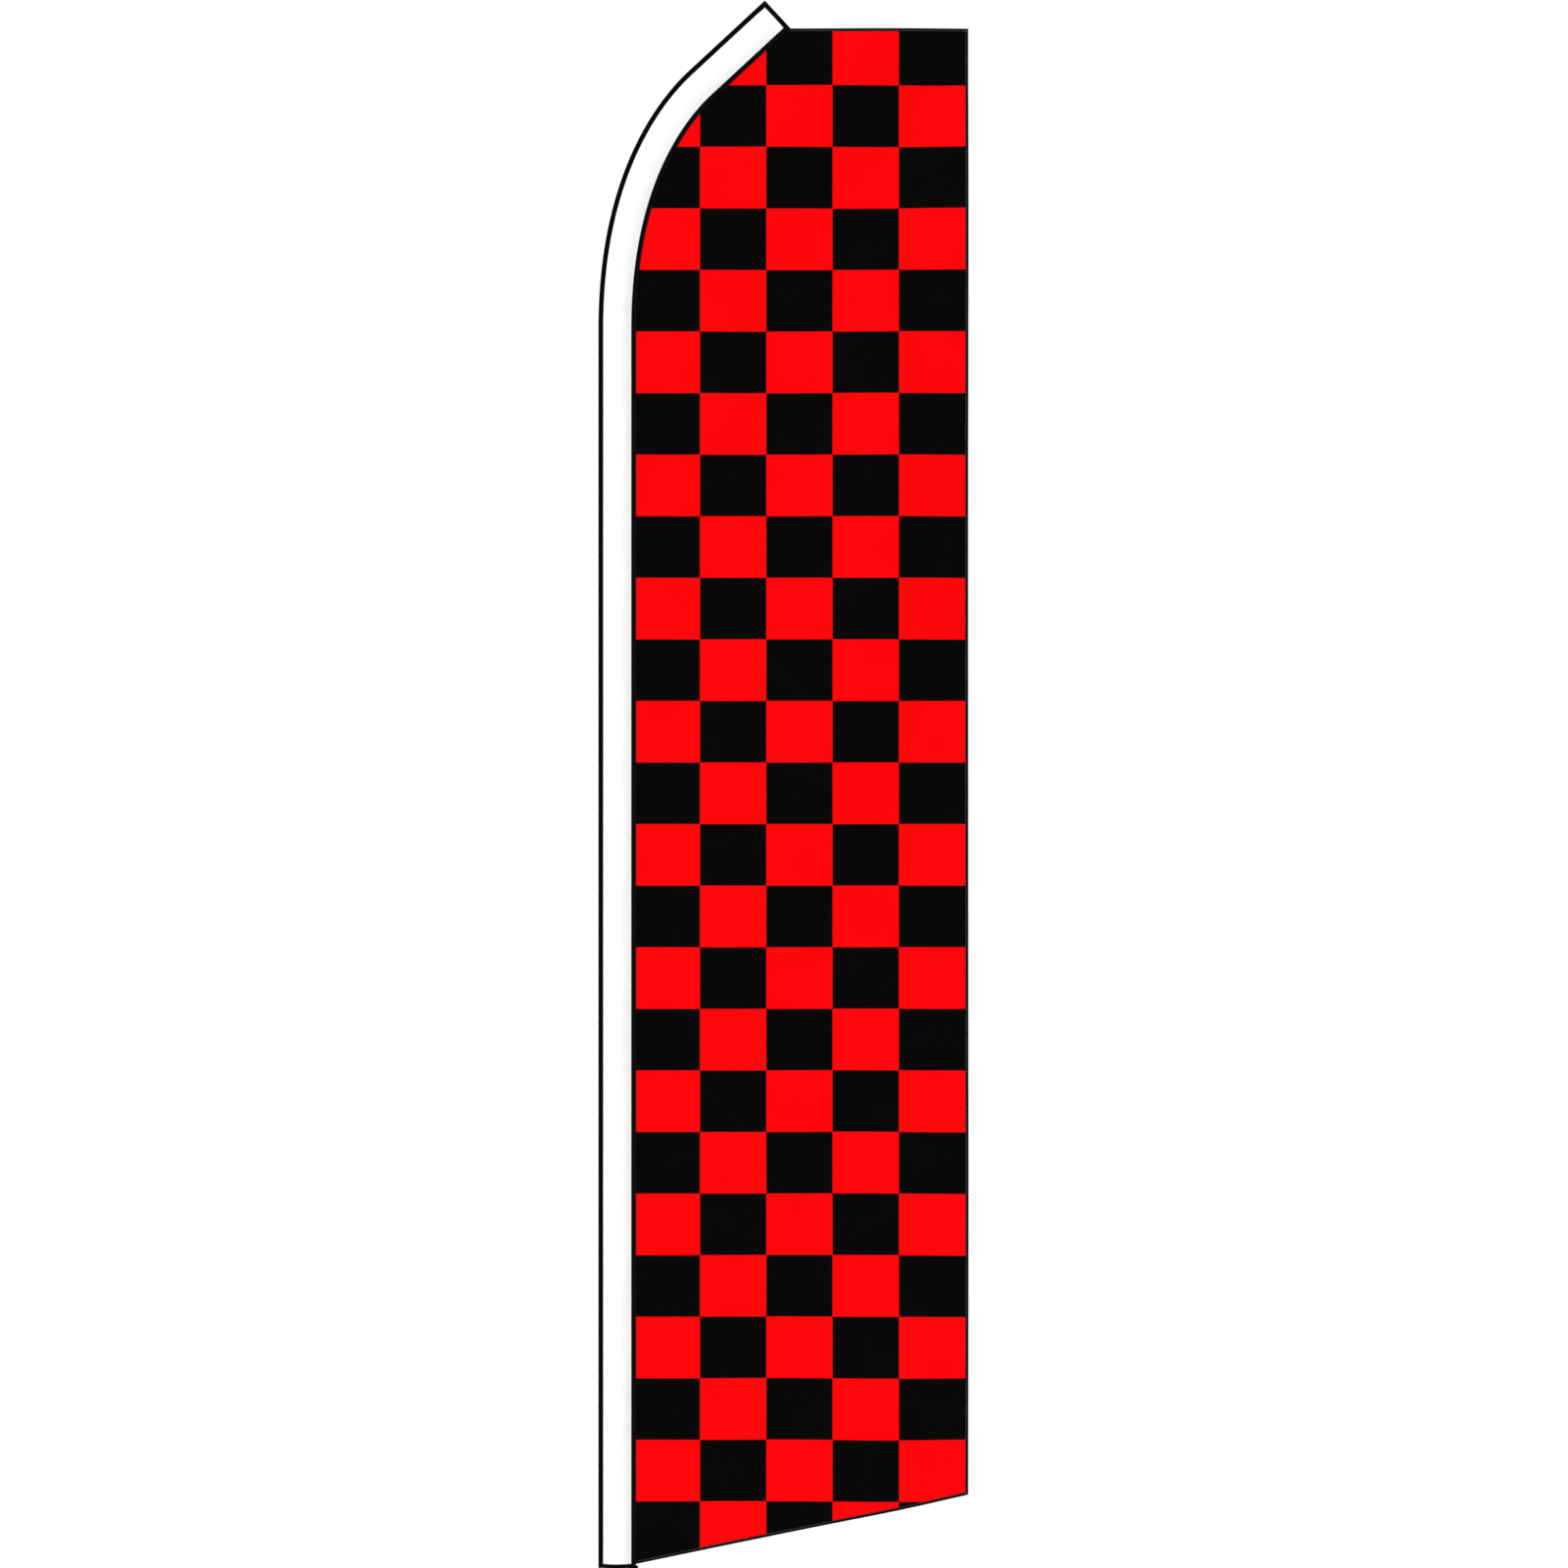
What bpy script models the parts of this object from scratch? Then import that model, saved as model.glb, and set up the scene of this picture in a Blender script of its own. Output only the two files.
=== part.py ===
"""Tall feather flag on a four-section pole that turns on a ground spike.

Row frame: metres, +Z up. The origin is on the pole's axis at ground level, which is
the underside of the step plate. The flag streams towards +X and faces -Y.
"""

import math

import bmesh
import bpy
from mathutils import Matrix, Vector
from mathutils.geometry import interpolate_bezier

# ---------------------------------------------------------------- shared clearances
GAP = 0.0003  # between pieces that touch
ROUND_SIDES = 24

# ---------------------------------------------------------------- flag, as sewn
FLAG_WIDTH = 0.762  # seam to fly edge
FLAG_HEIGHT = 3.505  # sleeve mouth to top edge
BOTTOM_START = 0.009  # the lower edge leaves the seam this far above the sleeve mouth
BOTTOM_RISE = 0.160  # and is this much higher at the fly edge
HEM_WIDTH = 0.0075
PANEL_THICKNESS = 0.0008
HEM_THICKNESS = 0.0024
RIPPLE_HEIGHT = 0.020
RIPPLE_ACROSS = 0.66  # wavelength from seam to fly
RIPPLE_DOWN = 2.30  # wavelength down the flag
FLUTTER_HEIGHT = 0.006
FLUTTER_ACROSS = 0.37
FLUTTER_DOWN = 1.10
PANEL_COLUMNS = 9
PANEL_ROWS = 28

# ---------------------------------------------------------------- sleeve and its bend
SLEEVE_HALF_WIDTH = 0.0426  # to the outer edge of the binding
BINDING_WIDTH = 0.0097
BINDING_THICKNESS = 0.0046
SLEEVE_WALL = 0.0008
SLEEVE_EDGE_HALF = 0.0015  # half thickness where the two layers meet
SLEEVE_EASE = 0.0015  # between the widest thing inside it and the cloth
SLEEVE_BULK_CLOSED = 0.0025  # half thickness at the closed end
SLEEVE_CLOSING = 0.024  # length over which the closed end flattens
BEND_RISE = 0.5546
BEND_REACH = 0.1925
BEND_LOWER_PULL = 0.3347  # how far the lower straight still steers the bend
BEND_UPPER_PULL = 0.0868
TIP_ANGLE = math.radians(47.2)  # from the vertical
TIP_STRAIGHT = 0.2340
BEND_STEPS = 12
STRAIGHT_STEPS = 5

# ---------------------------------------------------------------- pole sections
SECTION_LENGTH = 1.2192
INSERT_DEPTH = 0.1016
TUBE_WALL = 0.0015
BASE_TUBE_RADIUS = 0.0143
ROD_BASE_RADIUS = 0.00635
ROD_TIP_RADIUS = 0.0035
ROD_SIDES = 12
ROD_END_GAP = 0.030  # rod end to the closed end of the sleeve
STOP_RING_HEIGHT = 0.014
STOP_RING_OVERHANG = 0.0012
FERRULE_FLANGE = 0.008
FERRULE_NOSE = 0.004
FOOT_RING_WALL = 0.0024
FOOT_RING_HEIGHT = 0.026
CAP_RADIUS = 0.0065
CAP_GRIP = 0.020
CAP_DOME = 0.006
PATCH_WALL = 0.0009
PATCH_LENGTH = 0.085

# ---------------------------------------------------------------- rotating spindle
AXLE_RADIUS = 0.005
PLATE_THICKNESS = 0.005
SPACER_HEIGHT = 0.005
SPACER_WALL = 0.0016
BEARING_WIDTH = 0.006
INNER_RACE_WALL = 0.0017
RACE_SPACE = 0.0019
OUTER_RACE_WALL = 0.0016
BALL_RADIUS = 0.00135
BALL_COUNT = 8
GROOVE_RADIUS = 0.00150
CAGE_HALF_HEIGHT = 0.0008
BARREL_LENGTH = 0.205
BARREL_BORE_EASE = 0.0006  # keeps the barrel's shoulder off the inner races
BARREL_LIP = 0.0015
FLANGE_RADIUS = 0.019
FLANGE_HEIGHT = 0.007
WEAR_WASHER_HEIGHT = 0.002
O_RING_THICKNESS = 0.0015
O_RING_FROM_END = 0.028
AXLE_WASHER_HEIGHT = 0.0015
AXLE_WASHER_WALL = 0.0017
AXLE_NUT_HEIGHT = 0.0065
AXLE_NUT_WALL = 0.0025
AXLE_STICK_OUT = 0.002

# ---------------------------------------------------------------- ground spike
SPIKE_LENGTH = 0.450
SPIKE_RADIUS = 0.008
SPIKE_POINT = 0.070
PLATE_LENGTH = 0.120
PLATE_WIDTH = 0.050
PLATE_CORNER = 0.012
FIN_DEPTH = 0.120
FIN_REACH = 0.036
FIN_THICKNESS = 0.004

# ---------------------------------------------------------------- flag tensioner
COLLAR_WALL = 0.0049
COLLAR_HEIGHT = 0.016
COLLAR_DROP = 0.095  # sleeve mouth to the middle of the collar
COLLAR_SLIT = 0.002
EAR_LENGTH = 0.012
EAR_THICKNESS = 0.005
LUG_BEYOND_STUD = 0.0080
LUG_THICKNESS = 0.006
STRAP_WIDTH = 0.018
STRAP_THICKNESS = 0.003
STUD_RADIUS = 0.0034
STUD_HEAD_RADIUS = 0.0060
STUD_HEAD_HEIGHT = 0.002
EYE_CLEARANCE = 0.0004
TAB_WIDTH = 0.020
TAB_LENGTH = 0.034
TAB_THICKNESS = 0.002
RIVET_RADIUS = 0.0025
RIVET_HEAD_RADIUS = 0.0055
RIVET_HEAD_HEIGHT = 0.0012
RIVET_ABOVE_TAB_END = 0.011
SCREW_RADIUS = 0.0020
SCREW_HEAD_RADIUS = 0.0036
SCREW_HEAD_HEIGHT = 0.0030
SCREW_NUT_FLATS = 0.0070
SCREW_NUT_HEIGHT = 0.0032

# ---------------------------------------------------------------- worked out from those
BEND_START = FLAG_HEIGHT - (
    BEND_RISE
    + TIP_STRAIGHT * math.cos(TIP_ANGLE)
    - SLEEVE_HALF_WIDTH * math.sin(TIP_ANGLE)
)
FABRIC_HALF_WIDTH = SLEEVE_HALF_WIDTH - BINDING_WIDTH
FLY_X = SLEEVE_HALF_WIDTH + FLAG_WIDTH - BINDING_WIDTH / 2

AXLE_BORE = AXLE_RADIUS + GAP
BEARING_INNER_OUT = AXLE_BORE + INNER_RACE_WALL
BEARING_OUTER_IN = BEARING_INNER_OUT + RACE_SPACE
BEARING_OUTER_OUT = BEARING_OUTER_IN + OUTER_RACE_WALL
BARREL_BORE = BEARING_INNER_OUT + BARREL_BORE_EASE
BARREL_RADIUS = BASE_TUBE_RADIUS - TUBE_WALL - GAP
SPACER_Z = PLATE_THICKNESS + GAP
LOWER_BEARING_Z = SPACER_Z + SPACER_HEIGHT + GAP
BARREL_Z = LOWER_BEARING_Z - BARREL_LIP
UPPER_BEARING_Z = BARREL_Z + BARREL_LENGTH - BARREL_LIP - BEARING_WIDTH
AXLE_WASHER_Z = UPPER_BEARING_Z + BEARING_WIDTH + GAP
AXLE_NUT_Z = AXLE_WASHER_Z + AXLE_WASHER_HEIGHT + GAP
AXLE_TOP = AXLE_NUT_Z + AXLE_NUT_HEIGHT + AXLE_STICK_OUT
WEAR_WASHER_Z = BARREL_Z + FLANGE_HEIGHT + GAP
POLE_Z = WEAR_WASHER_Z + WEAR_WASHER_HEIGHT + GAP

SECTION_PITCH = SECTION_LENGTH - INSERT_DEPTH
TUBE_STEP = TUBE_WALL + GAP
LOWER_MID_Z = POLE_Z + SECTION_PITCH
UPPER_MID_Z = LOWER_MID_Z + SECTION_PITCH
TIP_Z = UPPER_MID_Z + SECTION_PITCH
LOWER_MID_RADIUS = BASE_TUBE_RADIUS - TUBE_STEP
UPPER_MID_RADIUS = LOWER_MID_RADIUS - TUBE_STEP
STOP_EASE = STOP_RING_OVERHANG + SLEEVE_EASE + SLEEVE_WALL
SLEEVE_BULK_MOUTH = BASE_TUBE_RADIUS + STOP_EASE  # half thickness over the lower stop ring
SLEEVE_BULK_BEND = LOWER_MID_RADIUS + STOP_EASE  # and over the upper one
SLEEVE_BULK_TIP = CAP_RADIUS + PATCH_WALL + SLEEVE_EASE + SLEEVE_WALL


# ================================================================ the sleeve's line
def bend_points():
    """Points along the bend of the sleeve, from the sleeve mouth's frame."""
    start = Vector((0, 0, BEND_START))
    direction = Vector((math.sin(TIP_ANGLE), 0, math.cos(TIP_ANGLE)))
    end = start + Vector((BEND_REACH, 0, BEND_RISE))
    return interpolate_bezier(
        start,
        start + Vector((0, 0, BEND_LOWER_PULL)),
        end - direction * BEND_UPPER_PULL,
        end,
        160,
    )


BEND = bend_points()
BEND_LENGTH = sum((b - a).length for a, b in zip(BEND, BEND[1:]))
SLEEVE_LENGTH = BEND_START + BEND_LENGTH + TIP_STRAIGHT
MOUTH_Z = TIP_Z + SECTION_LENGTH - (SLEEVE_LENGTH - ROD_END_GAP)


def centre_line(distance):
    """(point, direction) on the sleeve's middle, this far along it from its mouth."""
    tip = Vector((math.sin(TIP_ANGLE), 0, math.cos(TIP_ANGLE)))
    if distance <= BEND_START:
        return Vector((0, 0, distance)), Vector((0, 0, 1))
    if distance >= BEND_START + BEND_LENGTH:
        return BEND[-1] + tip * (distance - BEND_START - BEND_LENGTH), tip
    left = distance - BEND_START
    for a, b in zip(BEND, BEND[1:]):
        step = (b - a).length
        if left <= step:
            return a.lerp(b, left / step), (b - a).normalized()
        left -= step
    return BEND[-1], tip


def beside(distance, offset, front=0.0):
    """A point beside the centre line: offset towards the flag, front towards +Y."""
    point, direction = centre_line(distance)
    across = Vector((direction.z, 0, -direction.x))
    return point + across * offset + Vector((0, front, 0))


def distances(start, end):
    """Distances along the sleeve, close together only where it bends."""
    straight = [BEND_START * i / STRAIGHT_STEPS for i in range(STRAIGHT_STEPS)]
    bend = [BEND_START + BEND_LENGTH * i / BEND_STEPS for i in range(BEND_STEPS + 1)]
    inside = [d for d in straight + bend if start + 0.002 < d < end - 0.002]
    return [start] + inside + [end]


def bulk(distance):
    """Half thickness of the sleeve over the pole at this distance."""
    closing = SLEEVE_LENGTH - BINDING_WIDTH - SLEEVE_CLOSING
    if distance < BEND_START:
        share = distance / BEND_START
        return SLEEVE_BULK_MOUTH + (SLEEVE_BULK_BEND - SLEEVE_BULK_MOUTH) * share
    if distance < closing:
        share = (distance - BEND_START) / (closing - BEND_START)
        return SLEEVE_BULK_BEND + (SLEEVE_BULK_TIP - SLEEVE_BULK_BEND) * share
    share = min(1.0, (distance - closing) / SLEEVE_CLOSING)
    return SLEEVE_BULK_TIP + (SLEEVE_BULK_CLOSED - SLEEVE_BULK_TIP) * share


def lens_ring(distance, half_width, half_thickness, edge_half):
    """Closed ring of the sleeve's lens-shaped section, square to the centre line."""
    shares = (-1, -0.85, -0.5, 0, 0.5, 0.85, 1)
    section = [
        (half_width * s, edge_half + (half_thickness - edge_half) * (1 - s * s))
        for s in shares
    ]
    upper = [beside(distance, n, y) for n, y in section]
    lower = [beside(distance, n, -y) for n, y in reversed(section)]
    return upper + lower


# ================================================================ the flag's surface
def seam_line():
    """The seam binding's edge as it is built, with the gap that the flag keeps to it."""
    along = distances(0, SLEEVE_LENGTH)
    return [beside(d, SLEEVE_HALF_WIDTH + GAP) for d in along]


SEAM = seam_line()


def seam_x(height):
    """Where the flag's edge meets the seam binding, at this height over the mouth."""
    for a, b in zip(SEAM, SEAM[1:]):
        if height <= b.z:
            return a.x + (b.x - a.x) * max(0.0, height - a.z) / (b.z - a.z)
    return SEAM[-1].x


def lower_edge(x):
    return BOTTOM_START + BOTTOM_RISE * (x - SLEEVE_HALF_WIDTH) / FLAG_WIDTH


def ripple(x, z):
    """How far the cloth stands off its flat plane; it is still at the seam."""
    off_seam = max(0.0, x - seam_x(z))
    share = off_seam / FLAG_WIDTH
    long_wave = math.sin(math.tau * (off_seam / RIPPLE_ACROSS - z / RIPPLE_DOWN))
    short_wave = math.sin(math.tau * (off_seam / FLUTTER_ACROSS + z / FLUTTER_DOWN))
    return share * (RIPPLE_HEIGHT * long_wave + FLUTTER_HEIGHT * short_wave)


def cloth_point(u, v, start_x, end_x, low, high):
    """A point of a patch of cloth: u from seam to fly, v from low edge to high edge."""
    base = low(start_x(0)) * (1 - v) + high(start_x(0)) * v
    left = start_x(base)
    x = left + (end_x - left) * u
    z = base + (1 - v) * (low(x) - low(left)) + v * (high(x) - high(left))
    return Vector((x, ripple(x, z), z))


# ================================================================ making meshes
def clear_scene():
    for obj in list(bpy.data.objects):
        bpy.data.objects.remove(obj, do_unlink=True)


def material(name, colour, roughness, metallic=0.0):
    made = bpy.data.materials.new(name)
    made.use_nodes = True
    shader = made.node_tree.nodes["Principled BSDF"]
    shader.inputs["Base Color"].default_value = (*colour, 1.0)
    shader.inputs["Roughness"].default_value = roughness
    shader.inputs["Metallic"].default_value = metallic
    made.diffuse_color = (*colour, 1.0)
    return made


def body_frame(name, height, parent=None):
    """Empty on the pole's axis that carries one moving body."""
    empty = bpy.data.objects.new(name, None)
    bpy.context.scene.collection.objects.link(empty)
    empty.location = (0, 0, height - (parent["height"] if parent else 0))
    empty["height"] = height
    if parent:
        empty.parent = parent
    return empty


def add(name, bm, finish, frame, height=0.0, smooth=True):
    """Turns a bmesh into a named object whose own zero is at this height."""
    bmesh.ops.recalc_face_normals(bm, faces=bm.faces)
    mesh = bpy.data.meshes.new(name)
    bm.to_mesh(mesh)
    bm.free()
    if smooth:
        mesh.shade_smooth()
        mesh.set_sharp_from_angle(angle=math.radians(35))
    if finish:
        mesh.materials.append(finish)
    obj = bpy.data.objects.new(name, mesh)
    bpy.context.scene.collection.objects.link(obj)
    obj.parent = frame
    obj.location = (0, 0, height - frame["height"])
    return obj


def turned(profile, sides=ROUND_SIDES):
    """Solid turned about Z from (radius, height) points; it may touch the axis."""
    bm = bmesh.new()
    verts = [bm.verts.new((r, 0, z)) for r, z in profile]
    pairs = list(zip(verts, verts[1:]))
    if profile[0][0] > 0:
        pairs.append((verts[-1], verts[0]))
    edges = [bm.edges.new(pair) for pair in pairs]
    bmesh.ops.spin(
        bm,
        geom=verts + edges,
        cent=(0, 0, 0),
        axis=(0, 0, 1),
        angle=math.tau,
        steps=sides,
        use_merge=True,
    )
    bmesh.ops.remove_doubles(bm, verts=bm.verts, dist=1e-6)
    return bm


def ring_profile(inner, outer, low, high):
    return [(inner, low), (outer, low), (outer, high), (inner, high)]


def extruded(outline, low, high):
    """Straight extrusion along Z of a closed outline of (x, y) points."""
    bm = bmesh.new()
    face = bm.faces.new([bm.verts.new((x, y, low)) for x, y in outline])
    grown = bmesh.ops.extrude_face_region(bm, geom=[face])
    moved = [g for g in grown["geom"] if isinstance(g, bmesh.types.BMVert)]
    bmesh.ops.translate(bm, verts=moved, vec=(0, 0, high - low))
    return bm


def bridge(bm, first, second):
    count = len(first)
    for i in range(count):
        j = (i + 1) % count
        bm.faces.new((first[i], first[j], second[j], second[i]))


def lofted(rings, hollow=None, blind=False):
    """Skin over rings of points. hollow is the same for its inside; blind shuts one end."""
    bm = bmesh.new()
    outside = [[bm.verts.new(p) for p in ring] for ring in rings]
    for a, b in zip(outside, outside[1:]):
        bridge(bm, a, b)
    if hollow is None:
        bm.faces.new(outside[0])
        bm.faces.new(outside[-1])
        return bm
    inside = [[bm.verts.new(p) for p in ring] for ring in hollow]
    for a, b in zip(inside, inside[1:]):
        bridge(bm, a, b)
    bridge(bm, outside[0], inside[0])
    if blind:
        bm.faces.new(outside[-1])
        bm.faces.new(inside[-1])
    else:
        bridge(bm, outside[-1], inside[-1])
    return bm


def cloth_solid(point, columns, rows, thickness):
    """Closed slab of even thickness about the surface point(u, v)."""
    bm = bmesh.new()
    half = Vector((0, thickness / 2, 0))
    sides = []
    for shift in (-half, half):
        sides.append(
            [
                [bm.verts.new(point(c / columns, r / rows) + shift) for c in range(columns + 1)]
                for r in range(rows + 1)
            ]
        )
    for grid in sides:
        for r in range(rows):
            for c in range(columns):
                bm.faces.new((grid[r][c], grid[r][c + 1], grid[r + 1][c + 1], grid[r + 1][c]))
    front, back = (rim(grid) for grid in sides)
    bridge(bm, front, back)
    return bm


def rim(grid):
    """The outer loop of a grid of vertices, in order."""
    right = [row[-1] for row in grid[1:]]
    left = [row[0] for row in reversed(grid[1:-1])]
    return grid[0] + right + grid[-1][-2::-1] + left


def cutter(name, bm, target, operation="DIFFERENCE"):
    """Hidden helper that cuts, or joins, its target in the target's own frame."""
    helper = add(name, bm, None, target.parent, smooth=False)
    helper.location = target.location
    helper.hide_render = True
    helper.display_type = "WIRE"
    boolean = target.modifiers.new(name, "BOOLEAN")
    boolean.operation = operation
    boolean.solver = "EXACT"
    boolean.object = helper
    return helper


def along_y(bm):
    """Turns a shape made about Z so that it stands along +Y."""
    bmesh.ops.rotate(bm, verts=bm.verts, cent=(0, 0, 0), matrix=Matrix.Rotation(-math.pi / 2, 3, "X"))
    return bm


def moved(bm, x=0.0, y=0.0, z=0.0):
    bmesh.ops.translate(bm, verts=bm.verts, vec=(x, y, z))
    return bm


def hex_ring(flats, bore, height):
    """Nut blank: six flats outside, round bore inside, from z 0 to height."""
    def corner_radius(angle):
        return flats / 2 / math.cos((angle + math.pi / 6) % (math.pi / 3) - math.pi / 6)

    angles = [math.tau * i / ROUND_SIDES for i in range(ROUND_SIDES)]
    outer = [
        [Vector((corner_radius(a) * math.cos(a), corner_radius(a) * math.sin(a), z)) for a in angles]
        for z in (0, height)
    ]
    inner = [
        [Vector((bore * math.cos(a), bore * math.sin(a), z)) for a in angles]
        for z in (0, height)
    ]
    return lofted(outer, hollow=inner)


# ================================================================ ground spike
def build_spike(frame, steel, bearing_steel):
    bar = [
        (0, -SPIKE_LENGTH),
        (SPIKE_RADIUS, SPIKE_POINT - SPIKE_LENGTH),
        (SPIKE_RADIUS, -GAP),
        (AXLE_RADIUS, -GAP),
        (AXLE_RADIUS, AXLE_TOP - AXLE_STICK_OUT / 2),
        (AXLE_RADIUS - AXLE_STICK_OUT / 2, AXLE_TOP),
        (0, AXLE_TOP),
    ]
    add("spike_bar", turned(bar), steel, frame)
    plate = add("step_plate", extruded(plate_outline(), 0, PLATE_THICKNESS), steel, frame)
    hole = turned([(0, -0.01), (AXLE_BORE, -0.01), (AXLE_BORE, 0.02), (0, 0.02)])
    cutter("plate_hole", hole, plate)
    fin = fin_shape()
    add("fin_right", fin, steel, frame, smooth=False)
    left = bpy.data.objects.new("fin_left", bpy.data.objects["fin_right"].data)
    bpy.context.scene.collection.objects.link(left)
    left.parent = frame
    left.rotation_euler = (0, 0, math.pi)
    spacer = ring_profile(AXLE_BORE, AXLE_BORE + SPACER_WALL, 0, SPACER_HEIGHT)
    add("spacer_bush", turned(spacer), bearing_steel, frame, SPACER_Z)
    for name, height in (("lower", LOWER_BEARING_Z), ("upper", UPPER_BEARING_Z)):
        add(f"{name}_bearing_inner", turned(inner_race()), bearing_steel, frame, height)
        build_cage(name, height, frame, bearing_steel)
    washer = ring_profile(AXLE_BORE, AXLE_BORE + AXLE_WASHER_WALL, 0, AXLE_WASHER_HEIGHT)
    add("axle_washer", turned(washer), steel, frame, AXLE_WASHER_Z)
    nut = hex_ring(2 * (AXLE_RADIUS + AXLE_NUT_WALL), AXLE_BORE, AXLE_NUT_HEIGHT)
    add("axle_nut", nut, steel, frame, AXLE_NUT_Z, smooth=False)


def plate_outline():
    """Rectangle with round corners."""
    points = []
    for quarter, (sx, sy) in enumerate(((1, 1), (-1, 1), (-1, -1), (1, -1))):
        cx = sx * (PLATE_LENGTH / 2 - PLATE_CORNER)
        cy = sy * (PLATE_WIDTH / 2 - PLATE_CORNER)
        for step in range(6):
            angle = math.radians(90 * quarter + 18 * step)
            points.append((cx + PLATE_CORNER * math.cos(angle), cy + PLATE_CORNER * math.sin(angle)))
    return points


def fin_shape():
    """Flat gusset under the plate, which stops the spike turning in the soil."""
    inner = SPIKE_RADIUS + GAP
    outline = [
        (inner, -GAP),
        (inner, -FIN_DEPTH),
        (inner + FIN_REACH / 4, -FIN_DEPTH),
        (inner + FIN_REACH, -FIN_DEPTH / 3),
        (inner + FIN_REACH, -GAP),
    ]
    bm = extruded(outline, -FIN_THICKNESS / 2, FIN_THICKNESS / 2)
    bmesh.ops.rotate(bm, verts=bm.verts, cent=(0, 0, 0), matrix=Matrix.Rotation(math.pi / 2, 3, "X"))
    return bm


def groove(face_radius, side):
    """Points of a ball groove in a race; side is 1 where the balls lie outside it."""
    ball_line = (BEARING_INNER_OUT + BEARING_OUTER_IN) / 2
    middle = BEARING_WIDTH / 2
    half = math.acos(abs(face_radius - ball_line) / GROOVE_RADIUS)
    points = []
    for share in (-1, 0, 1):
        angle = half * share
        points.append(
            (ball_line - side * GROOVE_RADIUS * math.cos(angle), middle + GROOVE_RADIUS * math.sin(angle))
        )
    return points


def inner_race():
    bore, face = AXLE_BORE, BEARING_INNER_OUT
    return [(bore, 0), (face, 0), *groove(face, 1), (face, BEARING_WIDTH), (bore, BEARING_WIDTH)]


def outer_race():
    face = BEARING_OUTER_IN
    outside = BEARING_OUTER_OUT
    back = list(reversed(groove(face, -1)))
    return [(face, 0), (outside, 0), (outside, BEARING_WIDTH), (face, BEARING_WIDTH), *back]


def build_cage(name, height, frame, steel):
    """Ring that carries the balls between the two races, joined to them as one piece."""
    ball_line = (BEARING_INNER_OUT + BEARING_OUTER_IN) / 2
    middle = BEARING_WIDTH / 2
    profile = ring_profile(
        BEARING_INNER_OUT + GAP,
        BEARING_OUTER_IN - GAP,
        middle - CAGE_HALF_HEIGHT,
        middle + CAGE_HALF_HEIGHT,
    )
    cage = add(f"{name}_ball_cage", turned(profile), steel, frame, height)
    balls = bmesh.new()
    for i in range(BALL_COUNT):
        angle = math.tau * (i + 0.25) / BALL_COUNT
        place = (ball_line * math.cos(angle), ball_line * math.sin(angle), middle)
        bmesh.ops.create_uvsphere(
            balls, u_segments=8, v_segments=5, radius=BALL_RADIUS, matrix=Matrix.Translation(place)
        )
    cutter(f"{name}_balls", balls, cage, "UNION")


# ================================================================ spindle
def build_spindle(frame, steel, bearing_steel, nylon, rubber):
    seat = BEARING_OUTER_OUT + GAP
    seat_depth = BARREL_LIP + BEARING_WIDTH + GAP
    o_ring_zs = (O_RING_FROM_END, BARREL_LENGTH - O_RING_FROM_END)
    groove_floor = BARREL_RADIUS - O_RING_THICKNESS
    groove_half = O_RING_THICKNESS / 2 + GAP
    outside = [(FLANGE_RADIUS, 0), (FLANGE_RADIUS, FLANGE_HEIGHT), (BARREL_RADIUS, FLANGE_HEIGHT)]
    for z in o_ring_zs:
        outside += [
            (BARREL_RADIUS, z - groove_half),
            (groove_floor, z - groove_half),
            (groove_floor, z + groove_half),
            (BARREL_RADIUS, z + groove_half),
        ]
    profile = [
        (seat, 0),
        *outside,
        (BARREL_RADIUS, BARREL_LENGTH),
        (seat, BARREL_LENGTH),
        (seat, BARREL_LENGTH - seat_depth),
        (BARREL_BORE, BARREL_LENGTH - seat_depth),
        (BARREL_BORE, seat_depth),
        (seat, seat_depth),
    ]
    add("spindle_barrel", turned(profile), steel, frame, BARREL_Z)
    for name, height in (("lower", LOWER_BEARING_Z), ("upper", UPPER_BEARING_Z)):
        add(f"{name}_bearing_outer", turned(outer_race()), bearing_steel, frame, height)
    for name, z in zip(("lower", "upper"), o_ring_zs):
        half = O_RING_THICKNESS / 2
        line = groove_floor + GAP / 2 + half
        section = [
            (line + half * math.cos(math.tau * i / 6), half * math.sin(math.tau * i / 6))
            for i in range(6)
        ]
        add(f"{name}_grip_ring", turned(section), rubber, frame, BARREL_Z + z)
    washer = ring_profile(BARREL_RADIUS + GAP, FLANGE_RADIUS - GAP, 0, WEAR_WASHER_HEIGHT)
    add("wear_washer", turned(washer), nylon, frame, WEAR_WASHER_Z)


# ================================================================ pole
def build_tube(name, radius, frame, finish):
    profile = ring_profile(radius - TUBE_WALL, radius, 0, SECTION_LENGTH)
    return add(name, turned(profile), finish, frame, frame["height"])


def build_stop_ring(name, radius, frame, finish):
    """Nylon ring on a tube that rests on the end of the wider tube below."""
    outer = radius + TUBE_STEP + STOP_RING_OVERHANG
    profile = [
        (radius + GAP, 0),
        (outer, 0),
        (outer, STOP_RING_HEIGHT * 0.7),
        (radius + GAP * 4, STOP_RING_HEIGHT),
        (radius + GAP, STOP_RING_HEIGHT),
    ]
    add(name, turned(profile), finish, frame, frame["height"] + INSERT_DEPTH + GAP)


def build_foot_ring(frame, finish):
    inner = BASE_TUBE_RADIUS + GAP
    outer = inner + FOOT_RING_WALL
    profile = [
        (inner, 0),
        (outer, 0),
        (outer, FOOT_RING_HEIGHT * 0.8),
        (inner + FOOT_RING_WALL / 3, FOOT_RING_HEIGHT),
        (inner, FOOT_RING_HEIGHT),
    ]
    add("foot_ring", turned(profile), finish, frame, frame["height"])


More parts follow.
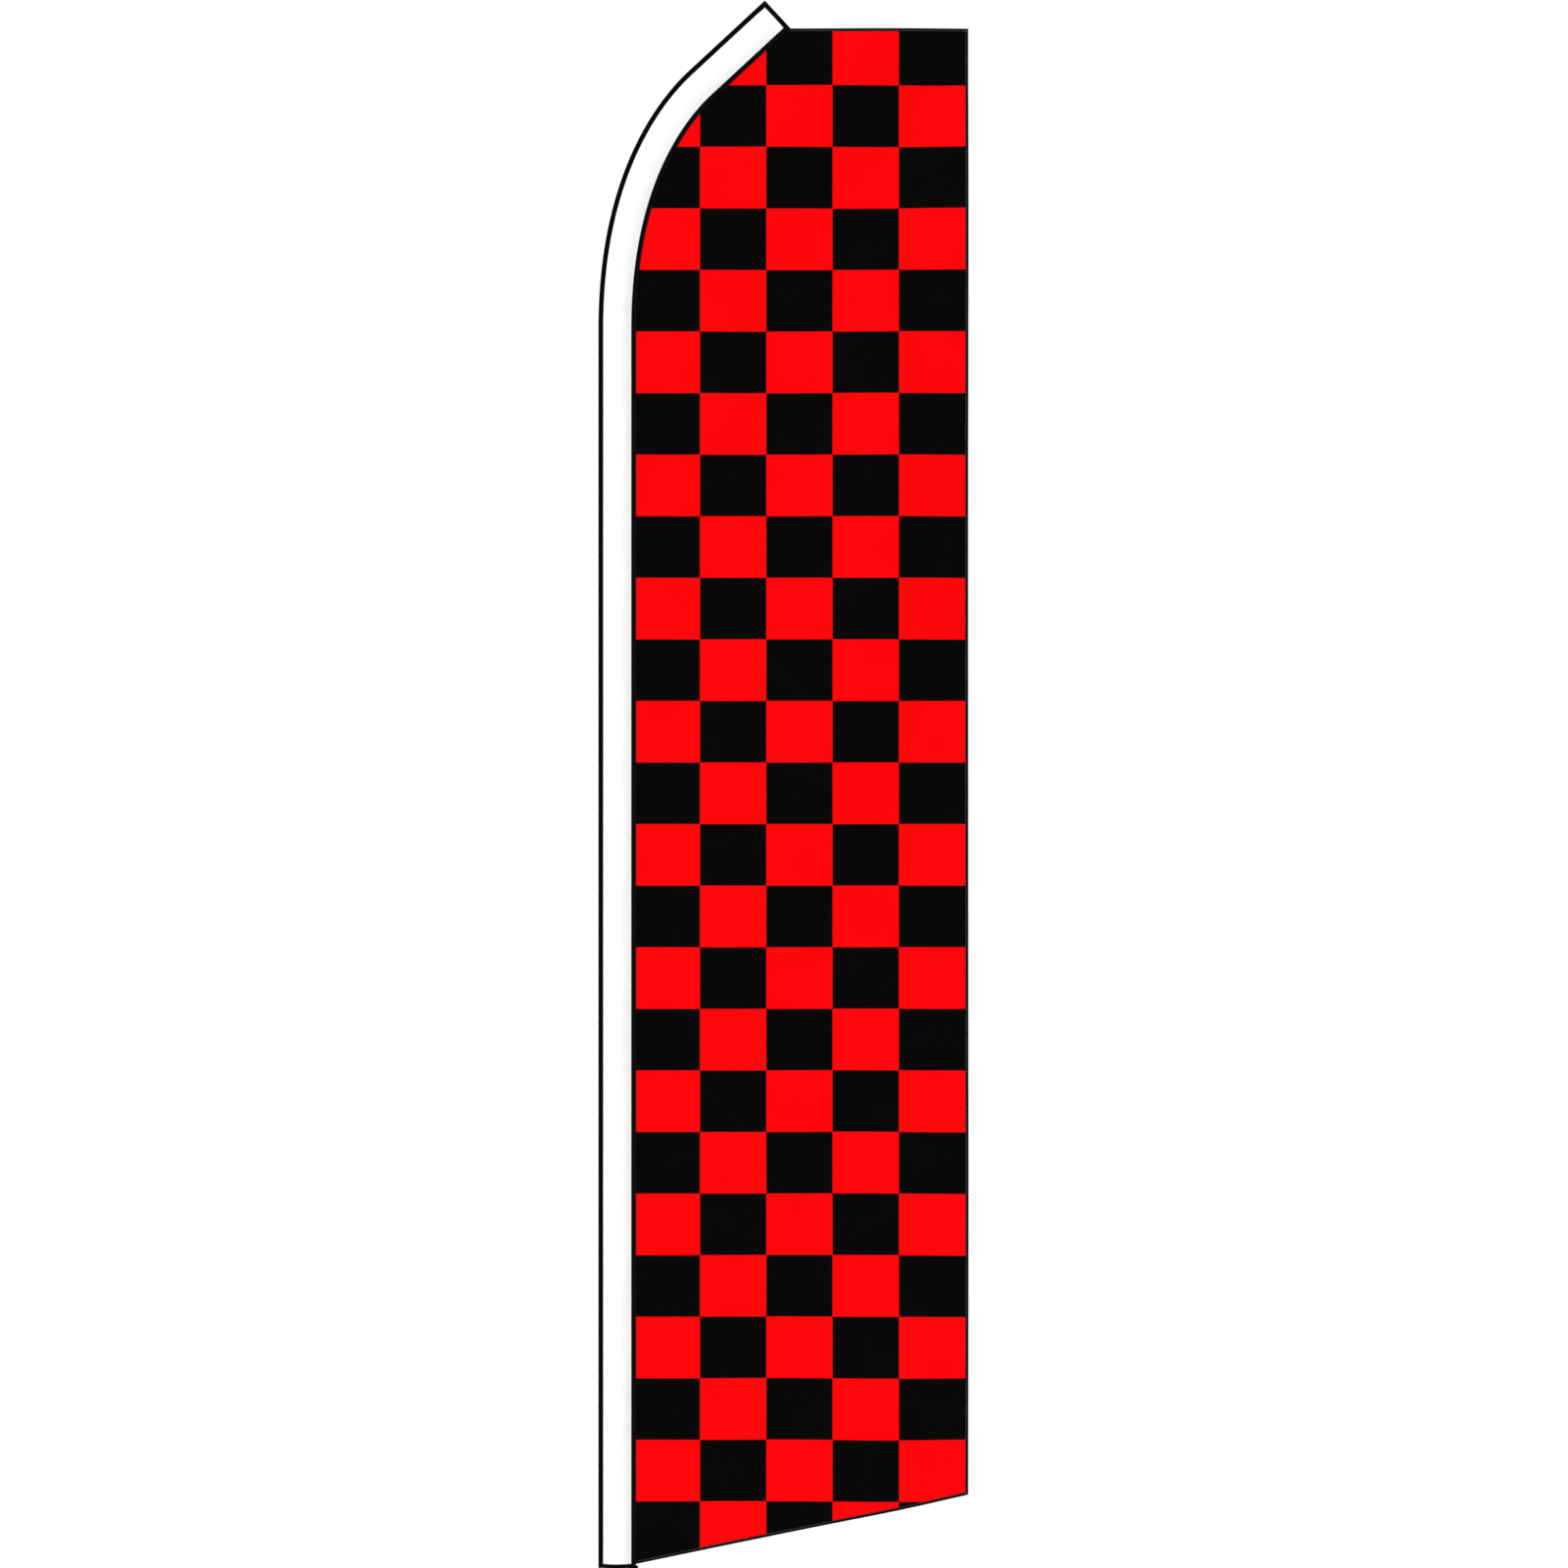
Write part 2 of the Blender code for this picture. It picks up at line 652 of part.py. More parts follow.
def build_tip(frame, aluminium, fibreglass, rubber):
    first = TIP_Z - MOUTH_Z
    last = SLEEVE_LENGTH - ROD_END_GAP
    rings = []
    for distance in distances(first, last):
        share = (distance - first) / (last - first)
        radius = ROD_BASE_RADIUS + (ROD_TIP_RADIUS - ROD_BASE_RADIUS) * share
        rings.append(
            [
                beside(distance, radius * math.cos(a), radius * math.sin(a))
                for a in (math.tau * i / ROD_SIDES for i in range(ROD_SIDES))
            ]
        )
    add("tip_rod", lofted(rings), fibreglass, frame, MOUTH_Z)
    bore = ROD_BASE_RADIUS + GAP
    plug = UPPER_MID_RADIUS - TUBE_WALL - GAP
    top = INSERT_DEPTH + GAP + FERRULE_FLANGE
    profile = [
        (bore, 0),
        (plug, 0),
        (plug, INSERT_DEPTH + GAP),
        (UPPER_MID_RADIUS, INSERT_DEPTH + GAP),
        (UPPER_MID_RADIUS, top),
        (bore + FERRULE_NOSE / 3, top + FERRULE_NOSE),
        (bore, top + FERRULE_NOSE),
    ]
    add("tip_ferrule", turned(profile), aluminium, frame, TIP_Z)
    build_cap(frame, rubber)


def build_cap(frame, rubber):
    """Blunt rubber cap over the rod's end, so that it can't wear through the sleeve."""
    bore = ROD_TIP_RADIUS + 3 * GAP
    profile = [
        (bore, -CAP_GRIP),
        (CAP_RADIUS * 0.85, -CAP_GRIP),
        (CAP_RADIUS, -CAP_GRIP * 0.8),
        (CAP_RADIUS, 0),
    ]
    for i in range(1, 4):
        angle = math.radians(90) * i / 4
        profile.append((CAP_RADIUS * math.cos(angle), CAP_DOME * math.sin(angle)))
    profile += [(0, CAP_DOME), (0, GAP), (bore, GAP)]
    bm = turned_cap(profile)
    place, _ = centre_line(SLEEVE_LENGTH - ROD_END_GAP)
    bmesh.ops.rotate(bm, verts=bm.verts, cent=(0, 0, 0), matrix=Matrix.Rotation(TIP_ANGLE, 3, "Y"))
    bmesh.ops.translate(bm, verts=bm.verts, vec=place)
    add("tip_cap", bm, rubber, frame, MOUTH_Z)


def turned_cap(profile):
    """Turns a profile whose two middle points lie on the axis: a cup with a floor."""
    bm = bmesh.new()
    verts = [bm.verts.new((r, 0, z)) for r, z in profile]
    axis = [i for i, (r, _) in enumerate(profile) if r == 0]
    pairs = [
        (verts[i], verts[(i + 1) % len(verts)])
        for i in range(len(verts))
        if not (i == axis[0] and i + 1 == axis[1])
    ]
    edges = [bm.edges.new(pair) for pair in pairs]
    bmesh.ops.spin(
        bm,
        geom=verts + edges,
        cent=(0, 0, 0),
        axis=(0, 0, 1),
        angle=math.tau,
        steps=ROD_SIDES,
        use_merge=True,
    )
    bmesh.ops.remove_doubles(bm, verts=bm.verts, dist=1e-6)
    return bm


# ================================================================ sewn flag
def build_sleeve(frame, white, canvas, tape):
    start, end = BINDING_WIDTH + GAP, SLEEVE_LENGTH - BINDING_WIDTH - GAP
    closing = SLEEVE_LENGTH - BINDING_WIDTH - SLEEVE_CLOSING
    shut = end - SLEEVE_WALL * 3
    width, edge = FABRIC_HALF_WIDTH, SLEEVE_EDGE_HALF
    wall = SLEEVE_WALL
    along = [d for d in distances(start, closing)] + [end]
    outside = [lens_ring(d, width, bulk(d), edge) for d in along]
    inside = [
        lens_ring(d, width - wall, bulk(d) - wall, edge - wall)
        for d in along[:-1] + [shut]
    ]
    add("pole_sleeve", lofted(outside, inside, blind=True), white, frame, MOUTH_Z)

    mouth = [lens_ring(d, width, bulk(d), edge) for d in (0, BINDING_WIDTH)]
    mouth_inside = [lens_ring(d, width - wall, bulk(d) - wall, edge - wall) for d in (0, BINDING_WIDTH)]
    add("sleeve_mouth_binding", lofted(mouth, mouth_inside), tape, frame, MOUTH_Z)

    patch_end = closing - GAP
    patch_along = [patch_end - PATCH_LENGTH, patch_end]
    clear = wall + GAP
    patch = [lens_ring(d, width - 3 * clear, bulk(closing) - clear, edge) for d in patch_along]
    hollow = [
        lens_ring(d, width - 3 * clear - PATCH_WALL, bulk(closing) - clear - PATCH_WALL, edge - PATCH_WALL)
        for d in patch_along
    ]
    add("tip_pocket_patch", lofted(patch, hollow), canvas, frame, MOUTH_Z)


def strip_rings(along, near, far, thickness):
    """Rectangular sections between two offsets from the centre line."""
    half = thickness / 2
    corners = ((near, -half), (far, -half), (far, half), (near, half))
    return [[beside(d, n, y) for n, y in corners] for d in along]


def build_bindings(frame, tape):
    near, far = FABRIC_HALF_WIDTH + GAP, SLEEVE_HALF_WIDTH
    end = SLEEVE_LENGTH - BINDING_WIDTH - GAP
    edges = (("sleeve_edge_binding", -far, -near), ("sleeve_seam_binding", near, far))
    for name, low, high in edges:
        rings = strip_rings(distances(0, end), low, high, BINDING_THICKNESS)
        add(name, lofted(rings), tape, frame, MOUTH_Z, smooth=False)
    along = (SLEEVE_LENGTH - BINDING_WIDTH, SLEEVE_LENGTH)
    rings = strip_rings(along, -far, far, BINDING_THICKNESS)
    add("sleeve_tip_binding", lofted(rings), tape, frame, MOUTH_Z, smooth=False)


def build_cloth(frame, printed, tape):
    inner_fly = FLY_X - HEM_WIDTH
    top = FLAG_HEIGHT

    def inner_low(x):
        return lower_edge(x) + HEM_WIDTH

    def inner_high(_):
        return top - HEM_WIDTH

    patches = {
        "flag_panel": (seam_x, inner_fly, inner_low, inner_high, PANEL_COLUMNS, PANEL_ROWS),
        "top_hem": (seam_x, inner_fly, lambda x: top - HEM_WIDTH + GAP, lambda x: top, PANEL_COLUMNS, 1),
        "bottom_hem": (
            seam_x,
            inner_fly,
            lower_edge,
            lambda x: lower_edge(x) + HEM_WIDTH - GAP,
            PANEL_COLUMNS,
            1,
        ),
        "fly_hem": (lambda z: inner_fly + GAP, FLY_X, lower_edge, lambda x: top, 1, PANEL_ROWS),
    }
    for name, (left, right, low, high, columns, rows) in patches.items():
        panel = name == "flag_panel"
        thickness = PANEL_THICKNESS if panel else HEM_THICKNESS

        def point(u, v):
            return cloth_point(u, v, left, right, low, high)

        solid = cloth_solid(point, columns, rows, thickness)
        add(name, solid, printed if panel else tape, frame, MOUTH_Z)


# ================================================================ flag tensioner
def pole_radius(height):
    """Outside radius of the section that shows at this height."""
    if height < LOWER_MID_Z + INSERT_DEPTH:
        return BASE_TUBE_RADIUS
    if height < UPPER_MID_Z + INSERT_DEPTH:
        return LOWER_MID_RADIUS
    return UPPER_MID_RADIUS


def collar_bore():
    return pole_radius(MOUTH_Z - COLLAR_DROP) + GAP


def lug_hole_x():
    """Distance from the pole's axis to the line of the tab, strap and stud."""
    return SLEEVE_HALF_WIDTH - BINDING_WIDTH / 2


def rivet_z():
    return -TAB_LENGTH + RIVET_ABOVE_TAB_END


def rod_shape(radius, low, high):
    return turned([(0, low), (radius, low), (radius, high), (0, high)])


def stadium(width, length):
    """Outline of a strap with round ends, along +Y from its first end's centre."""
    half = width / 2
    points = [(half * math.cos(a), half * math.sin(a)) for a in arc(180, 360)]
    points += [(half * math.cos(a), length + half * math.sin(a)) for a in arc(0, 180)]
    return points


def arc(first, last, steps=8):
    return [math.radians(first + (last - first) * i / steps) for i in range(steps + 1)]


def build_strap(frame, tape, rubber, brass):
    x = lug_hole_x()
    back = TAB_THICKNESS / 2
    low, high = -TAB_LENGTH, -GAP
    tab_outline = [(-TAB_WIDTH / 2, low), (TAB_WIDTH / 2, low), (TAB_WIDTH / 2, high), (-TAB_WIDTH / 2, high)]
    tab = extruded(tab_outline, -back, back)
    bmesh.ops.rotate(tab, verts=tab.verts, cent=(0, 0, 0), matrix=Matrix.Rotation(math.pi / 2, 3, "X"))
    tab_node = add("hem_tab", moved(tab, x=x), tape, frame, MOUTH_Z, smooth=False)
    hole = along_y(rod_shape(RIVET_RADIUS + GAP, -0.01, 0.01))
    cutter("tab_hole", moved(hole, x=x, z=rivet_z()), tab_node)

    lower_eye = -COLLAR_DROP
    strap_front = -(back + GAP + STRAP_THICKNESS)
    strap = extruded(stadium(STRAP_WIDTH, rivet_z() - lower_eye), 0, STRAP_THICKNESS)
    bmesh.ops.rotate(strap, verts=strap.verts, cent=(0, 0, 0), matrix=Matrix.Rotation(math.pi / 2, 3, "X"))
    moved(strap, x=x, y=-(back + GAP), z=lower_eye)
    strap_node = add("tension_strap", strap, rubber, frame, MOUTH_Z)
    upper = along_y(rod_shape(RIVET_RADIUS + EYE_CLEARANCE, -0.01, 0.01))
    cutter("strap_upper_eye", moved(upper, x=x, z=rivet_z()), strap_node)
    lower = along_y(rod_shape(STUD_RADIUS + EYE_CLEARANCE, -0.01, 0.01))
    cutter("strap_lower_eye", moved(lower, x=x, z=lower_eye), strap_node)

    front, rear = strap_front - GAP, back + GAP
    spool = [
        (0, front - RIVET_HEAD_HEIGHT),
        (RIVET_HEAD_RADIUS, front - RIVET_HEAD_HEIGHT),
        (RIVET_HEAD_RADIUS, front),
        (RIVET_RADIUS, front),
        (RIVET_RADIUS, rear),
        (RIVET_HEAD_RADIUS, rear),
        (RIVET_HEAD_RADIUS, rear + RIVET_HEAD_HEIGHT),
        (0, rear + RIVET_HEAD_HEIGHT),
    ]
    add("tab_rivet", moved(along_y(turned(spool)), x=x, z=rivet_z()), brass, frame, MOUTH_Z)


def collar_outline():
    """C-shaped clamp with two ears at -X and a lug at +X."""
    inner = collar_bore()
    outer = inner + COLLAR_WALL
    slit = COLLAR_SLIT / 2
    ear = slit + EAR_THICKNESS
    lug_front = -TAB_THICKNESS / 2
    lug_back = lug_front + LUG_THICKNESS
    ear_x = -(outer + EAR_LENGTH)
    lug_x = lug_hole_x() + LUG_BEYOND_STUD

    def angle(radius, y):
        return math.degrees(math.asin(y / radius))

    def ring(radius, first, last, steps=ROUND_SIDES):
        return [(radius * math.cos(a), radius * math.sin(a)) for a in arc(first, last, steps)]

    return [
        *ring(outer, angle(outer, lug_back), 180 - angle(outer, ear)),
        (ear_x, ear),
        (ear_x, slit),
        *ring(inner, 180 - angle(inner, slit), angle(inner, slit) - 180),
        (ear_x, -slit),
        (ear_x, -ear),
        *ring(outer, angle(outer, ear) - 180, angle(outer, lug_front)),
        (lug_x, lug_front),
        (lug_x, lug_back),
    ]


def build_collar(frame, nylon, steel):
    half = COLLAR_HEIGHT / 2
    outer = collar_bore() + COLLAR_WALL
    ear = COLLAR_SLIT / 2 + EAR_THICKNESS
    screw_x = -(outer + EAR_LENGTH * 0.55)
    collar = add("tension_collar", extruded(collar_outline(), -half, half), nylon, frame, frame["height"])
    hole = along_y(rod_shape(SCREW_RADIUS + GAP, -0.02, 0.02))
    cutter("collar_screw_hole", moved(hole, x=screw_x), collar)
    face = -TAB_THICKNESS / 2
    neck = face - STRAP_THICKNESS - 2 * GAP
    stud = [
        (0, neck - STUD_HEAD_HEIGHT),
        (STUD_HEAD_RADIUS * 0.8, neck - STUD_HEAD_HEIGHT),
        (STUD_HEAD_RADIUS, neck - STUD_HEAD_HEIGHT / 2),
        (STUD_HEAD_RADIUS, neck),
        (STUD_RADIUS, neck),
        (STUD_RADIUS, face + LUG_THICKNESS / 2),
        (0, face + LUG_THICKNESS / 2),
    ]
    cutter("collar_stud", moved(along_y(turned(stud)), x=lug_hole_x()), collar, "UNION")

    near = -(ear + GAP)
    far = ear + GAP
    end = far + SCREW_NUT_HEIGHT + SCREW_RADIUS / 2
    screw = [
        (0, near - SCREW_HEAD_HEIGHT),
        (SCREW_HEAD_RADIUS, near - SCREW_HEAD_HEIGHT),
        (SCREW_HEAD_RADIUS, near),
        (SCREW_RADIUS, near),
        (SCREW_RADIUS, end),
        (0, end),
    ]
    screw_mesh = moved(along_y(turned(screw)), x=screw_x)
    add("collar_screw", screw_mesh, steel, frame, frame["height"])
    nut = hex_ring(SCREW_NUT_FLATS, SCREW_RADIUS + GAP, SCREW_NUT_HEIGHT)
    moved(along_y(nut), x=screw_x, y=far)
    add("collar_nut", nut, steel, frame, frame["height"], smooth=False)


# ================================================================ assembly
def main():
    clear_scene()
    steel = material("zinc_plated_steel", (0.46, 0.46, 0.45), 0.38, 1.0)
    bearing_steel = material("bearing_steel", (0.60, 0.60, 0.61), 0.22, 1.0)
    aluminium = material("aluminium_tube", (0.66, 0.67, 0.68), 0.34, 1.0)
    fibreglass = material("fibreglass_rod", (0.03, 0.03, 0.035), 0.30)
    nylon = material("black_nylon", (0.02, 0.02, 0.02), 0.55)
    rubber = material("black_rubber", (0.025, 0.025, 0.025), 0.80)
    brass = material("brass", (0.72, 0.55, 0.25), 0.30, 1.0)
    white = material("white_sleeve_fabric", (0.90, 0.90, 0.90), 0.85)
    canvas = material("canvas_patch", (0.80, 0.79, 0.75), 0.90)
    printed = material("printed_red_fabric", (0.95, 0.0, 0.004), 0.80)
    tape = material("black_binding_tape", (0.006, 0.006, 0.006), 0.85)

    spike = body_frame("ground_spike_frame", 0)
    spindle = body_frame("spindle_frame", BARREL_Z, spike)
    base = body_frame("pole_base_frame", POLE_Z, spindle)
    lower_mid = body_frame("pole_lower_mid_frame", LOWER_MID_Z, base)
    upper_mid = body_frame("pole_upper_mid_frame", UPPER_MID_Z, lower_mid)
    flag = body_frame("tip_and_flag_frame", TIP_Z, upper_mid)
    collar = body_frame("tension_collar_frame", MOUTH_Z - COLLAR_DROP, flag)

    build_spike(spike, steel, bearing_steel)
    build_spindle(spindle, steel, bearing_steel, nylon, rubber)
    build_tube("base_tube", BASE_TUBE_RADIUS, base, aluminium)
    build_foot_ring(base, nylon)
    build_tube("lower_mid_tube", LOWER_MID_RADIUS, lower_mid, aluminium)
    build_stop_ring("lower_stop_ring", LOWER_MID_RADIUS, lower_mid, nylon)
    build_tube("upper_mid_tube", UPPER_MID_RADIUS, upper_mid, aluminium)
    build_stop_ring("upper_stop_ring", UPPER_MID_RADIUS, upper_mid, nylon)
    build_tip(flag, aluminium, fibreglass, rubber)
    build_sleeve(flag, white, canvas, tape)
    build_bindings(flag, tape)
    build_cloth(flag, printed, tape)
    build_strap(flag, tape, rubber, brass)
    build_collar(collar, nylon, steel)


main()
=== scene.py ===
"""Feather flag on a turning ground spike: the sewn, printed and machined surfaces.

Each operator makes one piece, or a group of like pieces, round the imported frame.
All sizes are metres in the frame's own axes: +Z up, +X towards the fly edge.
"""

import math

import bmesh
import bpy
import numpy as np
from mathutils import Matrix, Vector
from mathutils.geometry import interpolate_bezier


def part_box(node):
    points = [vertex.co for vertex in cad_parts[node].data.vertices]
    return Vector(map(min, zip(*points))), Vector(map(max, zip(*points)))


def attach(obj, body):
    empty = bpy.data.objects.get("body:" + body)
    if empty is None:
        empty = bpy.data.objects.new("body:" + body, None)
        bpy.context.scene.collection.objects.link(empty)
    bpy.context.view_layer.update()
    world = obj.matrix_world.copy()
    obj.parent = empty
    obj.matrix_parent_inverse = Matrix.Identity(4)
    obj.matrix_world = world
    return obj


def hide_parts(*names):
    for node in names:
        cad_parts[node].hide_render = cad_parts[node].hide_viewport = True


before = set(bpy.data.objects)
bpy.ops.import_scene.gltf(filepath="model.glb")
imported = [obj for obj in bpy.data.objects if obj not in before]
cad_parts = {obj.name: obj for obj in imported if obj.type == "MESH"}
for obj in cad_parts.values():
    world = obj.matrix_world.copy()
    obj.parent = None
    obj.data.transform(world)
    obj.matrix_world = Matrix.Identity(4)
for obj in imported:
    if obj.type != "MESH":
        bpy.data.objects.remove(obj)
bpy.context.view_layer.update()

bl_info = {
    "name": "Feather flag",
    "version": (1, 0, 0),
    "blender": (4, 5, 0),
    "location": "3D View > Sidebar > Feather flag",
    "description": "Builds the cloth, tapes, pole and ground spike of a feather flag",
    "category": "Object",
}


# ---------------------------------------------------------------- sizes read from the frame
def low(node):
    """Lowest corner of a node's box."""
    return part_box(node)[0]


def high(node):
    """Highest corner of a node's box."""
    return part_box(node)[1]


MOUTH_Z = low("sleeve_edge_binding").z
TOP_Z = high("top_hem").z
FLY_X = high("fly_hem").x
HEM_WIDTH = FLY_X - low("fly_hem").x
SLEEVE_HALF = -low("sleeve_edge_binding").x
CLOTH_HALF = -low("pole_sleeve").x
TAPE_THICK = 2 * high("sleeve_edge_binding").y
MOUTH_TAPE = high("sleeve_mouth_binding").z - MOUTH_Z
LOWER_EDGE_START = low("bottom_hem").z - MOUTH_Z
LOWER_EDGE_RISE = low("fly_hem").z - low("bottom_hem").z
FLAG_BODY = "tip_and_flag"

# ---------------------------------------------------------------- the sleeve's own line
BEND_RISE = 0.5546
BEND_REACH = 0.1925
BEND_LOWER_PULL = 0.3347
BEND_UPPER_PULL = 0.0868
BEND_POINTS = 160
SEAM_POINTS = 900
TIP_ANGLE = math.radians(47.2)
TIP_STRAIGHT = 0.2340
BEND_START = TOP_Z - MOUTH_Z - (
    BEND_RISE + TIP_STRAIGHT * math.cos(TIP_ANGLE) - SLEEVE_HALF * math.sin(TIP_ANGLE)
)

# ---------------------------------------------------------------- the cloth's waves
FLAG_WIDTH = 0.762
RIPPLE_HEIGHT = 0.020
RIPPLE_ACROSS = 0.66
RIPPLE_DOWN = 2.30
FLUTTER_HEIGHT = 0.006
FLUTTER_ACROSS = 0.37
FLUTTER_DOWN = 1.10

# Creases: height, length down, length across, sway, and the sway's rate and start
PULLS = (0.0013, 0.163, -0.30, 1.7, 5.3, 0.0)
FINER_PULLS = (0.0006, 0.071, -0.17, 2.1, 3.1, 1.0)
SHIVER = (0.0016, 0.29, 0.45, 1.3, 4.1, 0.0)
PULL_REACH = 0.11
PULL_RISE = 0.02
SHIVER_FROM = 0.50
SHIVER_SPAN = 0.25

# ---------------------------------------------------------------- cloth, tapes and thread
CLOTH_TUCK = 0.0030
CLOTH_GRID = (98, 480)
HEM_TUCK = 0.0040
HEM_UNDER_FLY = 0.0012
HEM_THICK = {"top_hem": 0.0018, "bottom_hem": 0.0018, "fly_hem": 0.0022}
HEM_POINTS = {"top_hem": 110, "bottom_hem": 150, "fly_hem": 560}
HEM_STITCH_LINE = 0.76
STITCH_LIFT = 0.44
STITCH_SHARE = 0.66
STITCH_STEPS = (-0.5, -0.30, 0.30, 0.5)
STITCH_RISE = (-0.9, 0.55, 0.55, -0.9)
STITCH_WIDTH = (0.45, 1.0, 1.0, 0.45)
THREAD_RING = ((1, 0), (0, 1), (-0.8, 0), (0, -1))
EDGE_LAP = 0.0027
SEAM_LAP = 0.0009
FLAG_LAP = 0.0006
TIP_LAP = 0.0015
FOLD_PLACE = 0.34
FOLD_REACH = 0.22
SHORT_FOLD = 0.0009
LONG_FOLD = 0.0005
DRAG_FOLD = 0.0003
SLACK = 0.0006
SMOOTH_MOUTH = 0.15
SMOOTH_TIP = 0.13
SMOOTH_FADE = 0.1
SLEEVE_SIDES = 48
SLEEVE_ROUNDNESS = 1.15
SLEEVE_WALL = 0.0006
SLEEVE_LIP = 0.0009
SLEEVE_SHUT = 0.0014
SLEEVE_CLOSING = 0.024
LINING_LENGTH = 0.085
LINING_WALL = 0.0009
LINING_DEPTH = 0.0013
TAB_THICK = 0.0019

# ---------------------------------------------------------------- light
# Each sun: name, turn in degrees, share of the key light's strength, softness in degrees
TENT_PANELS = 0.74
TENT_SIDES = 0.42
TENT_ROOF = 0.50
TENT_FALL = 1.5
KEY_LIGHT = ("key_light", (58, 0, -28), 1.0, 24)
BACK_LIGHT = ("back_light", (60, 0, 155), 0.5, 30)

# ---------------------------------------------------------------- fits and bearings
PLAY = 0.0003
TUBE_WALL = 0.0015
AXLE_RADIUS = 0.005
BALL_COUNT = 8
BALL_CIRCLE = 0.00795
BEARING_HEIGHT = 0.006
BEARING_RECESS = 0.0015
GROOVE_LIP = 0.00095
SMALL_SIDES = 48

RIGHT = Vector((1, 0, 0))
UP = Vector((0, 0, 1))


# ================================================================ settings
class FlagCloth(bpy.types.PropertyGroup):
    """Sizes and colours of the sewn parts"""

    red: bpy.props.FloatVectorProperty(
        name="Red squares",
        description="Colour of the printed squares",
        subtype="COLOR",
        size=3,
        default=(0.85, 0.0004, 0.0016),
    )
    black: bpy.props.FloatVectorProperty(
        name="Black squares",
        description="Colour of the dark squares and of the tapes",
        subtype="COLOR",
        size=3,
        default=(0.0008, 0.0008, 0.0009),
    )
    white: bpy.props.FloatVectorProperty(
        name="Sleeve",
        description="Colour of the pole sleeve",
        subtype="COLOR",
        size=3,
        default=(0.875, 0.875, 0.88),
    )
    thread: bpy.props.FloatVectorProperty(
        name="Thread",
        description="Colour of the hem stitches",
        subtype="COLOR",
        size=3,
        default=(0.16, 0.16, 0.17),
    )
    columns: bpy.props.IntProperty(
        name="Columns", description="Squares from the seam to the fly hem", default=5, min=1
    )
    row_height: bpy.props.FloatProperty(
        name="Row height",
        description="Height of one printed square",
        default=0.14017,
        unit="LENGTH",
    )
    print_overrun: bpy.props.FloatProperty(
        name="Print overrun",
        description="How far the print runs past the cut at the top edge",
        default=0.0107,
        unit="LENGTH",
    )
    cloth_thickness: bpy.props.FloatProperty(
        name="Cloth thickness",
        description="Thickness of the knitted cloth",
        default=0.0004,
        unit="LENGTH",
    )
    stitch_pitch: bpy.props.FloatProperty(
        name="Stitch pitch",
        description="Distance from one stitch to the next",
        default=0.0050,
        unit="LENGTH",
    )
    thread_width: bpy.props.FloatProperty(
        name="Thread width",
        description="Thickness of the sewing thread",
        default=0.0007,
        unit="LENGTH",
    )


class FlagHardware(bpy.types.PropertyGroup):
    """Colours of the pole, spindle and spike"""

    aluminium: bpy.props.FloatVectorProperty(
        name="Aluminium",
        description="Colour of the pole tubes",
        subtype="COLOR",
        size=3,
        default=(0.62, 0.63, 0.64),
    )
    zinc: bpy.props.FloatVectorProperty(
        name="Zinc plate",
        description="Colour of the plated steel",
        subtype="COLOR",
        size=3,
        default=(0.48, 0.48, 0.46),
    )
    nylon: bpy.props.FloatVectorProperty(
        name="Nylon",
        description="Colour of the moulded rings and the clamp",
        subtype="COLOR",
        size=3,
        default=(0.018, 0.018, 0.019),
    )
    rubber: bpy.props.FloatVectorProperty(
        name="Rubber",
        description="Colour of the strap, cap and grip rings",
        subtype="COLOR",
        size=3,
        default=(0.022, 0.022, 0.022),
    )
    sides: bpy.props.IntProperty(
        name="Sides", description="Sides of each turned piece", default=72, min=24
    )


class FlagStage(bpy.types.PropertyGroup):
    """Floor, light and camera"""

    view_height: bpy.props.FloatProperty(
        name="View height",
        description="Height that the camera takes in at the flag",
        default=3.5695,
        unit="LENGTH",
    )
    view_centre: bpy.props.FloatProperty(
        name="View centre",
        description="Distance from the pole's axis to the middle of the view",
        default=0.3800,
        unit="LENGTH",
    )
    lens: bpy.props.FloatProperty(
        name="Lens", description="Focal length in millimetres", default=200.0
    )
    floor_radius: bpy.props.FloatProperty(
        name="Floor radius", description="Radius of the floor", default=7.0, unit="LENGTH"
    )
    sky: bpy.props.FloatProperty(
        name="Fill light", description="Strength of the even white light", default=1.0
    )
    sun: bpy.props.FloatProperty(
        name="Key light", description="Strength of the soft light from the front", default=1.1
    )


def cloth():
    """Sizes of the sewing, as set in the sidebar."""
    return bpy.context.scene.flag_cloth


def hardware():
    """Sizes of the hardware, as set in the sidebar."""
    return bpy.context.scene.flag_hardware


def stage():
    """Settings of the camera, floor and lights."""
    return bpy.context.scene.flag_stage


# ================================================================ lines and directions
def distances(points):
    """Distance of each point from the first, along the line through them."""
    steps = np.linalg.norm(np.diff(points, axis=0), axis=1)
    return np.concatenate([[0.0], np.cumsum(steps)])


def sampled(places, along, rows):
    """Rows of three numbers at these distances along a line."""
    return np.stack([np.interp(places, along, rows[:, k]) for k in range(3)], axis=1)


def units(vectors):
    """The same vectors, each 1 long."""
    return vectors / np.linalg.norm(vectors, axis=-1)[..., None]


# ================================================================ the sleeve's line
def sleeve_line():
    """Points down the middle of the sleeve, and the distance to each from its mouth."""
    tip = Vector((math.sin(TIP_ANGLE), 0, math.cos(TIP_ANGLE)))
    start = Vector((0, 0, MOUTH_Z + BEND_START))
    end = start + Vector((BEND_REACH, 0, BEND_RISE))
    bend = interpolate_bezier(
        start, start + UP * BEND_LOWER_PULL, end - tip * BEND_UPPER_PULL, end, BEND_POINTS
    )
    points = np.array([Vector((0, 0, MOUTH_Z)), *bend, end + tip * TIP_STRAIGHT])
    return points, distances(points)


